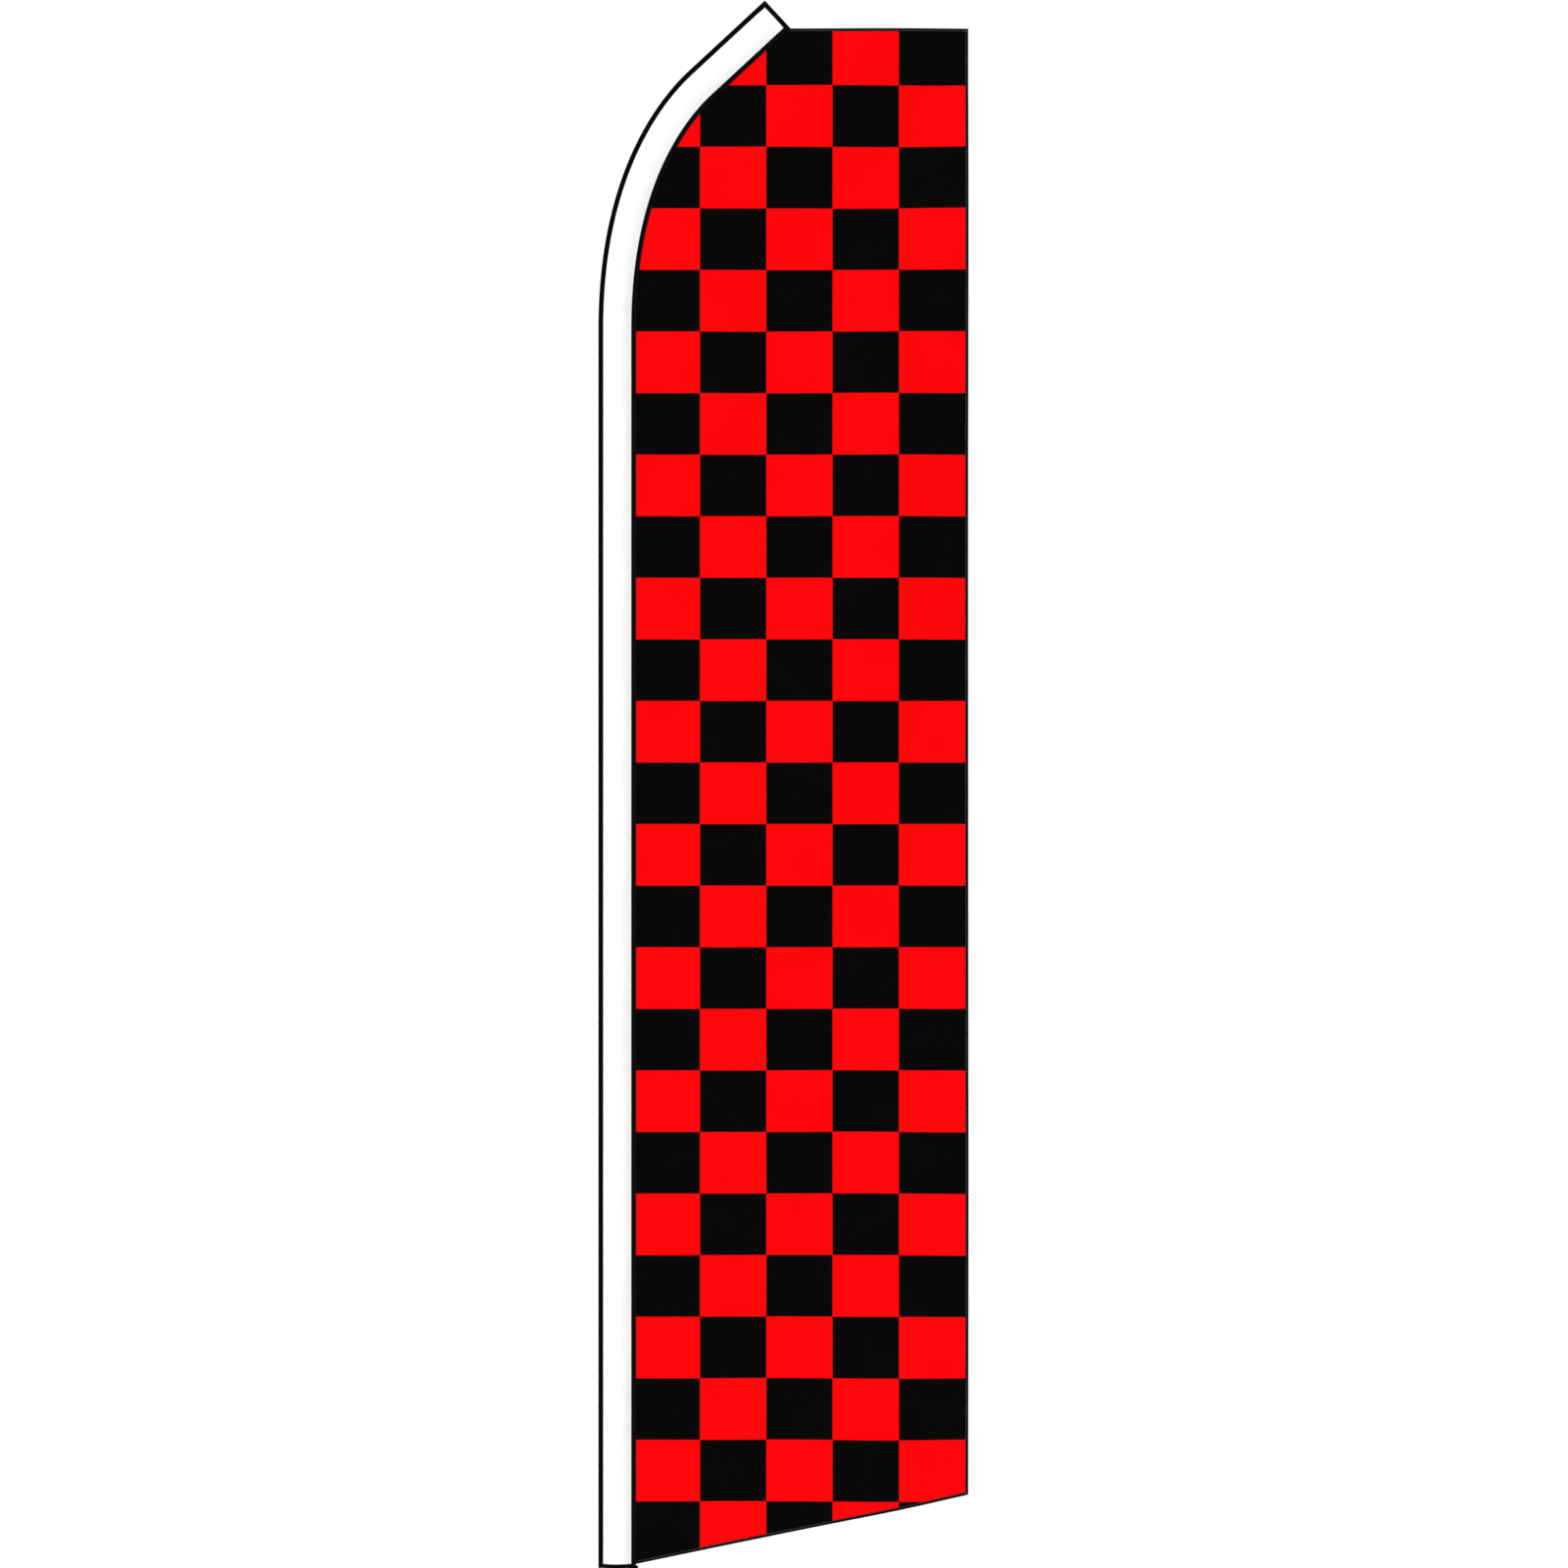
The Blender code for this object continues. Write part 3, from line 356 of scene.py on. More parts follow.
LINE, ALONG = sleeve_line()
SLEEVE_LENGTH = float(ALONG[-1])
SLEEVE_START = 0.004
SLEEVE_END = SLEEVE_LENGTH - 0.005


def on_line(distance):
    """Points on the sleeve's middle, and the direction across it towards the flag."""
    distance = np.atleast_1d(np.asarray(distance, float))
    step = 0.004
    ahead = sampled(np.minimum(distance + step, SLEEVE_LENGTH), ALONG, LINE)
    behind = sampled(np.maximum(distance - step, 0.0), ALONG, LINE)
    along = units(ahead - behind)
    across = np.stack([along[:, 2], 0 * along[:, 0], -along[:, 0]], axis=1)
    return sampled(distance, ALONG, LINE), across


def beside(distance, offset):
    """Points beside the sleeve's middle, offset towards the flag."""
    middle, across = on_line(distance)
    return middle + across * np.reshape(offset, (-1, 1))


def seam_curve():
    """Where the flag's cloth meets the seam tape, as heights and distances from the axis."""
    line = beside(np.linspace(0, SLEEVE_LENGTH, SEAM_POINTS), SLEEVE_HALF)
    return line[:, 2], line[:, 0]


SEAM_Z, SEAM_X = seam_curve()


def seam_x(z):
    return np.interp(z, SEAM_Z, SEAM_X)


def lower_edge(x):
    return MOUTH_Z + LOWER_EDGE_START + LOWER_EDGE_RISE * (x - SLEEVE_HALF) / FLAG_WIDTH


# ================================================================ the cloth's stand-off
def ripple(x, z):
    """How far the flag stands off its flat plane, as the frame has it, with fine creases."""
    off = np.maximum(0.0, x - seam_x(z))
    rise = z - MOUTH_Z
    share = off / FLAG_WIDTH
    long_wave = np.sin(math.tau * (off / RIPPLE_ACROSS - rise / RIPPLE_DOWN))
    short_wave = np.sin(math.tau * (off / FLUTTER_ACROSS + rise / FLUTTER_DOWN))
    return share * (RIPPLE_HEIGHT * long_wave + FLUTTER_HEIGHT * short_wave) + creases(off, rise)


def crease(off, rise, height, down, across, sway, rate, start):
    """One set of creases whose crests wander from side to side."""
    wander = sway * np.sin(rise * rate + start)
    return height * np.sin(math.tau * (rise / down + off / across) + wander)


def creases(off, rise):
    """Fine pulls that fan out from the seam, and a soft shiver along the fly edge."""
    near_seam = np.exp(-off / PULL_REACH) * np.minimum(1.0, off / PULL_RISE)
    pulls = crease(off, rise, *PULLS) + crease(off, rise, *FINER_PULLS)
    near_fly = np.clip((off - SHIVER_FROM) / SHIVER_SPAN, 0.0, 1.0) ** 2
    return near_seam * pulls + near_fly * crease(off, rise, *SHIVER)


# ================================================================ making meshes
def make_piece(name, points, faces, finishes, body, uv=None, picks=None, sharp=40):
    """A closed mesh that rides on a body. uv is per point, picks gives each face's finish."""
    mesh = bpy.data.meshes.new(name)
    mesh.from_pydata(np.asarray(points, float).tolist(), [], [list(map(int, f)) for f in faces])
    mesh.validate()
    if uv is not None:
        corner = np.empty(len(mesh.loops), np.int32)
        mesh.loops.foreach_get("vertex_index", corner)
        layer = mesh.uv_layers.new(name="cloth")
        layer.data.foreach_set("uv", np.asarray(uv, np.float32)[corner].ravel())
    for finish in finishes:
        mesh.materials.append(finish)
    if picks is not None:
        mesh.polygons.foreach_set("material_index", np.asarray(picks, np.int32))
    mesh.shade_smooth()
    mesh.set_sharp_from_angle(angle=math.radians(sharp))
    piece = bpy.data.objects.new(name, mesh)
    bpy.context.scene.collection.objects.link(piece)
    outward(piece)
    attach(piece, body)
    return piece


def outward(piece):
    """Turns the faces so that they point out of the solid."""
    bm = bmesh.new()
    bm.from_mesh(piece.data)
    bmesh.ops.recalc_face_normals(bm, faces=bm.faces)
    bm.to_mesh(piece.data)
    bm.free()


def grid_faces(rows, columns, first=0, wrap=False):
    """Quads of a grid of rows by columns of points, numbered from first."""
    index = first + np.arange(rows * columns).reshape(rows, columns)
    if wrap:
        index = np.concatenate([index, index[:, :1]], axis=1)
    a, b, c, d = index[:-1, :-1], index[:-1, 1:], index[1:, 1:], index[1:, :-1]
    return np.stack([a, b, c, d], axis=-1).reshape(-1, 4)


def rim_of(rows, columns, first=0):
    """Numbers of a grid's outline points, in order round it."""
    index = first + np.arange(rows * columns).reshape(rows, columns)
    return np.concatenate([index[0], index[1:, -1], index[-1, -2::-1], index[-2:0:-1, 0]])


def make_sheet(name, surface, normals, thickness, finishes, uv, sharp=40):
    """A closed sheet about a grid of points. finishes are its front, back and edge."""
    rows, columns = surface.shape[:2]
    half = normals * thickness / 2
    points = np.concatenate([(surface - half).reshape(-1, 3), (surface + half).reshape(-1, 3)])
    count = rows * columns
    front = grid_faces(rows, columns)
    back = grid_faces(rows, columns, count)
    a, b = rim_of(rows, columns), rim_of(rows, columns, count)
    edge = np.stack([a, np.roll(a, -1), np.roll(b, -1), b], axis=1)
    picks = np.repeat([0, 1, 2], [len(front), len(back), len(edge)])
    uv = np.concatenate([uv.reshape(-1, 2)] * 2)
    faces = np.concatenate([front, back, edge])
    return make_piece(name, points, faces, finishes, FLAG_BODY, uv, picks, sharp)


def make_loft(name, rings, finishes, body, uv=None, inside=None, blind=False, sharp=40):
    """A skin over closed rings of points, capped, or turned in over a second skin."""
    rings = np.asarray(rings, float)
    rows, columns = rings.shape[:2]
    count = rows * columns
    faces = grid_faces(rows, columns, wrap=True).tolist()
    points = rings.reshape(-1, 3)
    first, last = np.arange(columns), count - columns + np.arange(columns)
    if inside is None:
        faces += [first.tolist(), last.tolist()]
    else:
        points = np.concatenate([points, np.asarray(inside, float).reshape(-1, 3)])
        faces += grid_faces(rows, columns, count, wrap=True).tolist()
        ends = [first] if blind else [first, last]
        for end in ends:
            turned = np.roll(end, -1)
            faces += np.stack([end, turned, turned + count, end + count], axis=1).tolist()
        if blind:
            faces += [last.tolist(), (last + count).tolist()]
    if uv is not None:
        uv = np.asarray(uv, float).reshape(-1, 2)
        uv = uv if inside is None else np.concatenate([uv, uv])
    return make_piece(name, points, faces, finishes, body, uv, sharp=sharp)


def eased(corners, radius, steps=4, closed=True):
    """An outline with each corner rounded off."""
    points, count = [], len(corners)
    for i, corner in enumerate(corners):
        here = Vector(corner)
        if not closed and i in (0, count - 1):
            points.append(tuple(here))
            continue
        before = Vector(corners[i - 1]) - here
        after = Vector(corners[(i + 1) % count]) - here
        reach = min(radius, 0.45 * before.length, 0.45 * after.length)
        start, end = here + before.normalized() * reach, here + after.normalized() * reach
        for k in range(steps + 1):
            t = k / steps
            points.append(tuple(start * (1 - t) ** 2 + here * 2 * t * (1 - t) + end * t * t))
    return points


def turned_mesh(profile, sides):
    """Points and faces of a profile of (radius, height) turned about Z."""
    angles = np.linspace(0, math.tau, sides, endpoint=False)
    points, rings, faces = [], [], []
    for radius, height in profile:
        first = len(points)
        if radius < 1e-7:
            points.append((0.0, 0.0, height))
            rings.append([first] * sides)
            continue
        points += [(radius * math.cos(a), radius * math.sin(a), height) for a in angles]
        rings.append(list(range(first, first + sides)))
    on_axis = profile[0][0] < 1e-7 and profile[-1][0] < 1e-7
    pairs = list(zip(rings, rings[1:]))
    if not on_axis:
        pairs.append((rings[-1], rings[0]))
    for one, two in pairs:
        for i in range(sides):
            j = (i + 1) % sides
            face = dict.fromkeys((one[i], one[j], two[j], two[i]))
            if len(face) > 2:
                faces.append(list(face))
    return np.array(points, float), faces


def make_turned(name, profile, finish, body, sides=None, place=None):
    """A turned piece about Z, or about Z of the given placement matrix."""
    points, faces = turned_mesh(profile, sides or hardware().sides)
    if place is not None:
        spin = np.array(place, float)
        points = points @ spin[:3, :3].T + spin[:3, 3]
    return make_piece(name, points, faces, [finish], body)


def make_plate(name, outlines, thickness, bevel, place, finish, body):
    """A flat plate with holes and rounded edges, from closed outlines of (x, y) points."""
    curve = bpy.data.curves.new(name, "CURVE")
    curve.dimensions = "2D"
    curve.fill_mode = "BOTH"
    curve.extrude = thickness / 2 - bevel
    curve.bevel_depth = bevel
    curve.bevel_resolution = 2
    curve.offset = -bevel
    for outline in outlines:
        spline = curve.splines.new("POLY")
        spline.points.add(len(outline) - 1)
        spline.points.foreach_set("co", [v for x, y in outline for v in (x, y, 0, 1)])
        spline.use_cyclic_u = True
    blank = bpy.data.objects.new(name + "_blank", curve)
    mesh = bpy.data.meshes.new_from_object(blank)
    points = [place @ v.co for v in mesh.vertices]
    faces = [list(p.vertices) for p in mesh.polygons]
    bpy.data.objects.remove(blank)
    bpy.data.curves.remove(curve)
    bpy.data.meshes.remove(mesh)
    piece = make_piece(name, points, faces, [finish], body)
    weld_seams(piece)
    return piece


def weld_seams(piece):
    """Joins points that lie on each other, so that the solid is closed."""
    bm = bmesh.new()
    bm.from_mesh(piece.data)
    bmesh.ops.remove_doubles(bm, verts=bm.verts, dist=2e-6)
    bmesh.ops.dissolve_degenerate(bm, edges=bm.edges, dist=1e-6)
    bmesh.ops.recalc_face_normals(bm, faces=bm.faces)
    bm.to_mesh(piece.data)
    bm.free()


def circle(radius, x=0.0, y=0.0, steps=32, first=0.0, last=360.0):
    """Points round a circle, or round a part of it from first to last in degrees."""
    whole = abs(last - first) >= 360
    count = steps if whole else steps + 1
    angles = [math.radians(first + (last - first) * i / steps) for i in range(count)]
    return [(x + radius * math.cos(a), y + radius * math.sin(a)) for a in angles]


def facing_front(x, z, y=0.0):
    """Placement that lays a plate's outline in the X-Z plane, its Z towards -Y."""
    return Matrix.Translation((x, y, z)) @ Matrix.Rotation(math.radians(90), 4, "X")


def facing_back(x, z, y=0.0):
    """Placement that stands a turned piece along +Y."""
    return Matrix.Translation((x, y, z)) @ Matrix.Rotation(math.radians(-90), 4, "X")


def arc(radius, start, end, steps):
    """Points (radius times cosine, radius times sine) from start to end, in radians."""
    return [(radius * math.cos(a), radius * math.sin(a)) for a in np.linspace(start, end, steps)]


def middle_of(node):
    """Middle of a node's box."""
    near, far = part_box(node)
    return (near + far) / 2


# ================================================================ finishes
MIDDLE_OF_NOISE = (0.3, 0.7)


class Finish:
    """Lays out the nodes of one procedural material."""

    def __init__(self, name, colour, roughness, metallic=0.0, **fixed):
        self.material = bpy.data.materials.new(name)
        self.material.use_nodes = True
        self.material.diffuse_color = (*colour, 1)
        self.tree = self.material.node_tree
        self.shader = self.tree.nodes["Principled BSDF"]
        inputs = self.shader.inputs
        inputs["Base Color"].default_value = (*colour, 1)
        inputs["Roughness"].default_value = roughness
        inputs["Metallic"].default_value = metallic
        for name_of, value in fixed.items():
            inputs[name_of.replace("_", " ")].default_value = value
        self.normal = None

    def node(self, kind, links=None, values=None, **settings):
        made = self.tree.nodes.new("ShaderNode" + kind)
        for key, value in settings.items():
            setattr(made, key, value)
        for key, value in (values or {}).items():
            made.inputs[key].default_value = value
        for key, source in (links or {}).items():
            self.tree.links.new(source, made.inputs[key])
        return made

    def solid_space(self, scale=(1, 1, 1)):
        source = self.node("TexCoord").outputs["Object"]
        return self.node("Mapping", {"Vector": source}, {"Scale": scale}).outputs[0]

    def cloth_space(self, scale=(1, 1, 1), shift=(0, 0, 0)):
        source = self.node("UVMap", uv_map="cloth").outputs[0]
        values = {"Scale": scale, "Location": shift}
        return self.node("Mapping", {"Vector": source}, values).outputs[0]

    def noise(self, space, scale, detail=3.0, roughness=0.5):
        values = {"Scale": scale, "Detail": detail, "Roughness": roughness}
        return self.node("TexNoise", {"Vector": space}, values).outputs["Fac"]

    def math(self, operation, first, second=None):
        made = self.node("Math", {0: first}, operation=operation)
        if second is not None:
            if isinstance(second, (int, float)):
                made.inputs[1].default_value = second
            else:
                self.tree.links.new(second, made.inputs[1])
        return made.outputs[0]

    def ridges(self, coordinate, pitch):
        """Waves from -1 to 1 with this distance between crests."""
        turned = self.math("MULTIPLY", coordinate, math.tau / pitch)
        return self.math("SINE", turned)

    def axes(self, space):
        return self.node("SeparateXYZ", {0: space}).outputs

    def spread(self, value, start, end, low_to, high_to):
        values = {
            "From Min": start,
            "From Max": end,
            "To Min": low_to,
            "To Max": high_to,
        }
        return self.node("MapRange", {"Value": value}, values, clamp=True).outputs[0]

    def mix(self, share, first, second):
        """Colour between two colours or colour sockets."""
        made = self.node("Mix", {0: share}, data_type="RGBA")
        for socket, colour in ((made.inputs[6], first), (made.inputs[7], second)):
            if isinstance(colour, bpy.types.NodeSocket):
                self.tree.links.new(colour, socket)
            else:
                socket.default_value = (*colour, 1)
        return made.outputs[2]

    def colour(self, source):
        self.tree.links.new(source, self.shader.inputs["Base Color"])

    def patches(self, noise, start, end, first, second, most=1.0):
        """Colour that goes from first to second as the noise goes from start to end."""
        return self.mix(self.spread(noise, start, end, 0.0, most), first, second)

    def roughness(self, source):
        self.tree.links.new(source, self.shader.inputs["Roughness"])

    def uneven(self, noise, smooth, rough):
        """Roughness between these two over the middle of the noise."""
        return self.spread(noise, *MIDDLE_OF_NOISE, smooth, rough)

    def bump(self, height, distance, strength=1.0):
        values = {"Distance": distance, "Strength": strength}
        links = {"Height": height}
        if self.normal is not None:
            links["Normal"] = self.normal
        self.normal = self.node("Bump", links, values).outputs[0]
        self.tree.links.new(self.normal, self.shader.inputs["Normal"])


def shade(colour, share):
    return tuple(c * share for c in colour)


def paler(colour, amount):
    return tuple(c + amount for c in colour)


def woven(made, pitch, depth):
    """Raised over-and-under threads with slight slubs."""
    across, down = made.axes(made.cloth_space())[:2]
    cross = made.math("MULTIPLY", made.ridges(across, pitch), made.ridges(down, pitch))
    slubs = made.noise(made.cloth_space((1 / pitch, 0.12 / pitch, 1)), 1.0, 2.0)
    height = made.math("ADD", cross, made.math("MULTIPLY", slubs, 0.8))
    made.bump(height, depth)


def printed_finish(name, strength):
    """Knitted polyester with squares printed through it; strength is that face's ink."""
    s = cloth()
    fixed = {"Sheen_Weight": 0.02, "Sheen_Roughness": 0.5, "Specular_IOR_Level": 0.02}
    made = Finish(name, s.red, 0.78, **fixed)
    space = made.cloth_space((1 / square_width(), 1 / s.row_height, 1))
    checks = made.node("TexChecker", {"Vector": space}, {"Scale": 1.0})
    blotches = made.noise(made.cloth_space(), 9.0, 4.0)
    threads = made.noise(made.cloth_space((900, 260, 1)), 1.0, 2.0)
    thin_ink = shade(s.red, strength * 0.95)
    red = made.patches(blotches, *MIDDLE_OF_NOISE, shade(s.red, strength), thin_ink)
    soaked = s.black if strength == 1 else shade(s.black, 3)
    black = made.patches(threads, 0.55, 0.8, soaked, paler(s.black, 0.0012), 0.5)
    made.colour(made.mix(checks.outputs["Fac"], black, red))
    made.roughness(made.uneven(blotches, 0.72, 0.84))
    across, down = made.axes(made.cloth_space())[:2]
    wales, courses = made.ridges(across, 0.0009), made.ridges(down, 0.0012)
    crossed = made.math("MULTIPLY", made.math("MULTIPLY", wales, courses), 0.7)
    made.bump(made.math("ADD", wales, crossed), 0.00006)
    made.bump(made.noise(made.cloth_space((40, 14, 1)), 1.0, 3.0), 0.0010, 0.5)
    return made.material


def sleeve_finish():
    """Plain white polyester, slightly mottled."""
    s = cloth()
    fixed = {"Sheen_Weight": 0.05, "Sheen_Roughness": 0.5, "Specular_IOR_Level": 0.2}
    made = Finish("sleeve_cloth", s.white, 0.82, **fixed)
    mottle = made.noise(made.cloth_space(), 14.0, 4.0)
    lint = made.noise(made.cloth_space((700, 120, 1)), 1.0, 3.0)
    warm = tuple(c * share for c, share in zip(s.white, (0.96, 0.955, 0.94)))
    made.colour(made.patches(made.math("MULTIPLY", mottle, lint), 0.2, 0.42, s.white, warm))
    made.roughness(made.uneven(mottle, 0.76, 0.88))
    woven(made, 0.0008, 0.00006)
    made.bump(made.noise(made.cloth_space((60, 18, 1)), 1.0, 3.0), 0.0012, 0.5)
    return made.material


def tape_finish(name="binding_tape", lift=1.0, pitch=0.0011):
    """Ribbed woven tape: the ribs cross its length."""
    black = shade(cloth().black, lift)
    fixed = {"Sheen_Weight": 0.01, "Sheen_Roughness": 0.4, "Specular_IOR_Level": 0.03}
    made = Finish(name, black, 0.80, **fixed)
    across, down = made.axes(made.cloth_space())[:2]
    ribs = made.ridges(down, pitch)
    wires = made.ridges(across, pitch * 0.7)
    worn = made.noise(made.cloth_space((90, 90, 1)), 1.0, 4.0)
    made.colour(made.patches(worn, 0.56, 0.8, black, paler(shade(black, 2.0), 0.002), 0.6))
    made.roughness(made.uneven(worn, 0.72, 0.88))
    made.bump(made.math("ADD", ribs, made.math("MULTIPLY", wires, 0.35)), 0.00009)
    return made.material


def thread_finish(name, colour):
    """Twisted polyester sewing thread."""
    made = Finish(name, colour, 0.55, Sheen_Weight=0.08, Specular_IOR_Level=0.25)
    twist = made.noise(made.solid_space((1800, 1800, 1800)), 1.0, 2.0)
    made.colour(made.patches(twist, 0.35, 0.65, shade(colour, 0.75), colour))
    made.bump(twist, 0.00005)
    return made.material


def tube_finish():
    """Drawn and anodised aluminium, with fine lengthwise lines and a few scuffs."""
    colour = hardware().aluminium
    made = Finish("drawn_aluminium", colour, 0.34, 1.0, Anisotropic=0.35)
    lines = made.noise(made.solid_space((2600, 2600, 6)), 1.0, 3.0)
    haze = made.noise(made.solid_space((14, 14, 3)), 1.0, 4.0)
    scuffs = made.noise(made.solid_space((60, 60, 900)), 1.0, 6.0, 0.7)
    tone = made.patches(lines, *MIDDLE_OF_NOISE, shade(colour, 0.90), colour)
    made.colour(made.patches(scuffs, 0.62, 0.72, tone, shade(colour, 0.62), 0.5))
    scratched = made.spread(scuffs, 0.60, 0.74, 0.0, 0.2)
    made.roughness(made.math("ADD", made.uneven(haze, 0.26, 0.38), scratched))
    made.bump(lines, 0.00002)
    return made.material


def plated_finish(name="zinc_plate", worn=0.0):
    """Bright zinc with its faint cloudy spangle; worn shows where soil has rubbed it."""
    colour = hardware().zinc
    made = Finish(name, colour, 0.36, 1.0)
    clouds = made.noise(made.solid_space(), 55.0, 5.0, 0.6)
    grain = made.noise(made.solid_space(), 900.0, 2.0)
    rub = made.noise(made.solid_space((140, 140, 9)), 1.0, 5.0, 0.65)
    tone = made.patches(clouds, 0.35, 0.65, shade(colour, 0.90), colour)
    dull = made.spread(rub, 0.60 - worn, 0.74 - worn, 0.0, 0.75)
    made.colour(made.mix(dull, tone, (0.27, 0.26, 0.24)))
    rubbed = made.math("MULTIPLY", dull, 0.25)
    made.roughness(made.math("ADD", made.uneven(clouds, 0.26, 0.42), rubbed))
    made.bump(grain, 0.00003)
    return made.material


def ground_steel_finish():
    """Ground bearing steel, with a film of oil."""
    steel, oily = (0.60, 0.60, 0.61), (0.47, 0.46, 0.43)
    made = Finish("ground_steel", steel, 0.2, 1.0)
    rings = made.noise(made.solid_space((30, 30, 5200)), 1.0, 2.0)
    oil = made.noise(made.solid_space(), 160.0, 4.0)
    made.colour(made.patches(oil, 0.4, 0.7, steel, oily))
    made.roughness(made.uneven(rings, 0.14, 0.30))
    made.bump(rings, 0.00001)
    return made.material


def brass_finish():
    """Brass with a little tarnish."""
    brass, dull = (0.70, 0.52, 0.24), (0.42, 0.30, 0.15)
    made = Finish("rivet_brass", brass, 0.3, 1.0)
    tarnish = made.noise(made.solid_space(), 420.0, 5.0)
    made.colour(made.patches(tarnish, 0.4, 0.7, brass, dull))
    made.roughness(made.spread(tarnish, 0.35, 0.7, 0.22, 0.46))
    made.bump(tarnish, 0.00003)
    return made.material


def nylon_finish():
    """Moulded nylon with faint flow marks."""
    colour = hardware().nylon
    made = Finish("moulded_nylon", colour, 0.5, Specular_IOR_Level=0.45)
    spark = made.noise(made.solid_space(), 1500.0, 2.0)
    flow = made.noise(made.solid_space(), 60.0, 4.0)
    made.colour(made.patches(flow, 0.45, 0.75, colour, paler(colour, 0.02)))
    made.roughness(made.uneven(flow, 0.42, 0.60))
    made.bump(spark, 0.00005)
    return made.material


def rubber_finish():
    """Moulded rubber with dust in its pores."""
    colour = hardware().rubber
    made = Finish("moulded_rubber", colour, 0.72, Specular_IOR_Level=0.35)
    dust = made.noise(made.solid_space(), 260.0, 6.0, 0.7)
    bloom = made.noise(made.solid_space(), 32.0, 3.0)
    made.colour(made.patches(dust, 0.52, 0.8, colour, paler(colour, 0.035)))
    made.roughness(made.uneven(bloom, 0.62, 0.82))
    made.bump(made.noise(made.solid_space(), 2200.0, 2.0), 0.00004)
    return made.material


def fibreglass_finish():
    """Long glass strands in a black resin skin."""
    made = Finish("fibreglass", (0.03, 0.03, 0.035), 0.3, Coat_Weight=0.4, Coat_Roughness=0.12)
    strands = made.noise(made.solid_space((1500, 1500, 14)), 1.0, 4.0)
    resin, glass = (0.022, 0.022, 0.026), (0.075, 0.075, 0.08)
    made.colour(made.patches(strands, 0.45, 0.7, resin, glass))
    made.roughness(made.uneven(strands, 0.22, 0.42))
    made.bump(strands, 0.00004)
    return made.material


def canvas_finish():
    """Unbleached cotton canvas."""
    made = Finish("lining_canvas", (0.72, 0.70, 0.63), 0.9, Sheen_Weight=0.15)
    slubs = made.noise(made.solid_space((500, 500, 160)), 1.0, 4.0)
    made.colour(made.patches(slubs, 0.35, 0.7, (0.76, 0.74, 0.68), (0.56, 0.53, 0.46)))
    made.roughness(made.uneven(slubs, 0.84, 0.95))
    made.bump(slubs, 0.0002)
    return made.material


def weld_finish():
    """Weld metal with dark scale in its hollows."""
    made = Finish("weld_bead", (0.34, 0.33, 0.31), 0.45, 1.0)
    scale = made.noise(made.solid_space(), 500.0, 5.0)
    made.colour(made.patches(scale, 0.35, 0.7, (0.40, 0.39, 0.37), (0.20, 0.19, 0.18)))
    made.roughness(made.uneven(scale, 0.36, 0.58))
    made.bump(scale, 0.00012)
    return made.material


MAKERS = {
    "printed_front": lambda: printed_finish("printed_front", 1.0),
    "printed_back": lambda: printed_finish("printed_back", 0.93),
    "sleeve": sleeve_finish,
    "tape": tape_finish,
    "webbing": lambda: tape_finish("webbing", 4.0, 0.0019),
    "hem_thread": lambda: thread_finish("hem_thread", cloth().thread),
    "dark_thread": lambda: thread_finish("dark_thread", (0.012, 0.012, 0.013)),
    "tube": tube_finish,
    "plated": plated_finish,
    "spike": lambda: plated_finish("spike_steel", 0.06),
    "ground_steel": ground_steel_finish,
    "brass": brass_finish,
    "nylon": nylon_finish,
    "rubber": rubber_finish,
    "fibreglass": fibreglass_finish,
    "canvas": canvas_finish,
    "weld": weld_finish,
}
MADE = {}


def finish(name):
    if name not in MADE:
        MADE[name] = MAKERS[name]()
    return MADE[name]


# ================================================================ sewn pieces
def seam_centre():
    """Distance from the pole's axis to the middle of the seam tape."""
    return (CLOTH_HALF + SLEEVE_HALF) / 2


def print_origin():
    """Height where the first row of squares would start if nothing was cut off."""
    return TOP_Z + cloth().print_overrun


def cloth_grid(left, right, bottom, top, columns, rows):
    """Points of a patch of the flag; bottom and top are functions of x, left of z."""
    u = np.linspace(0, 1, columns)[None, :]
    v = np.linspace(0, 1, rows)[:, None]
    foot = left(np.array([bottom(left(MOUTH_Z))]))
    base = bottom(foot) * (1 - v) + top(foot) * v
    start = left(base)
    x = start + (right - start) * u
    z = base + (1 - v) * (bottom(x) - bottom(start)) + v * (top(x) - top(start))
    return x, z


def on_cloth(x, z):
    return np.stack([x, ripple(x, z), z], axis=-1)


def cloth_normals(x, z):
    """Unit vectors out of the back of the cloth."""
    step = 0.002
    slope_x = (ripple(x + step, z) - ripple(x - step, z)) / (2 * step)
    slope_z = (ripple(x, z + step) - ripple(x, z - step)) / (2 * step)
    return units(np.stack([-slope_x, np.ones_like(slope_x), -slope_z], axis=-1))


def square_width():
    return (low("fly_hem").x - seam_centre()) / cloth().columns


def print_uv(x, z):
    """Metres across and down the print; its last column runs on under the fly hem."""
    across = np.minimum(x - seam_centre(), cloth().columns * square_width() - 1e-5)
    return np.stack([across, print_origin() - z], axis=-1)


def build_cloth():
    """The printed panel, tucked a little way under each tape."""
    coarser = 1
    columns, rows = (count // coarser for count in CLOTH_GRID)

    def left(z):
        return seam_x(z) - CLOTH_TUCK

    def bottom(x):
        return lower_edge(x) + CLOTH_TUCK

    def top(x):
        return TOP_Z - CLOTH_TUCK + 0 * x

    x, z = cloth_grid(left, FLY_X - CLOTH_TUCK, bottom, top, columns, rows)
    names = ("printed_front", "printed_back", "printed_front")
    panel = make_sheet(
        "printed_panel",
        on_cloth(x, z),
        cloth_normals(x, z),
        cloth().cloth_thickness,
        [finish(name) for name in names],
        print_uv(x, z),
    )
    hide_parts("flag_panel")
    return panel, x, z


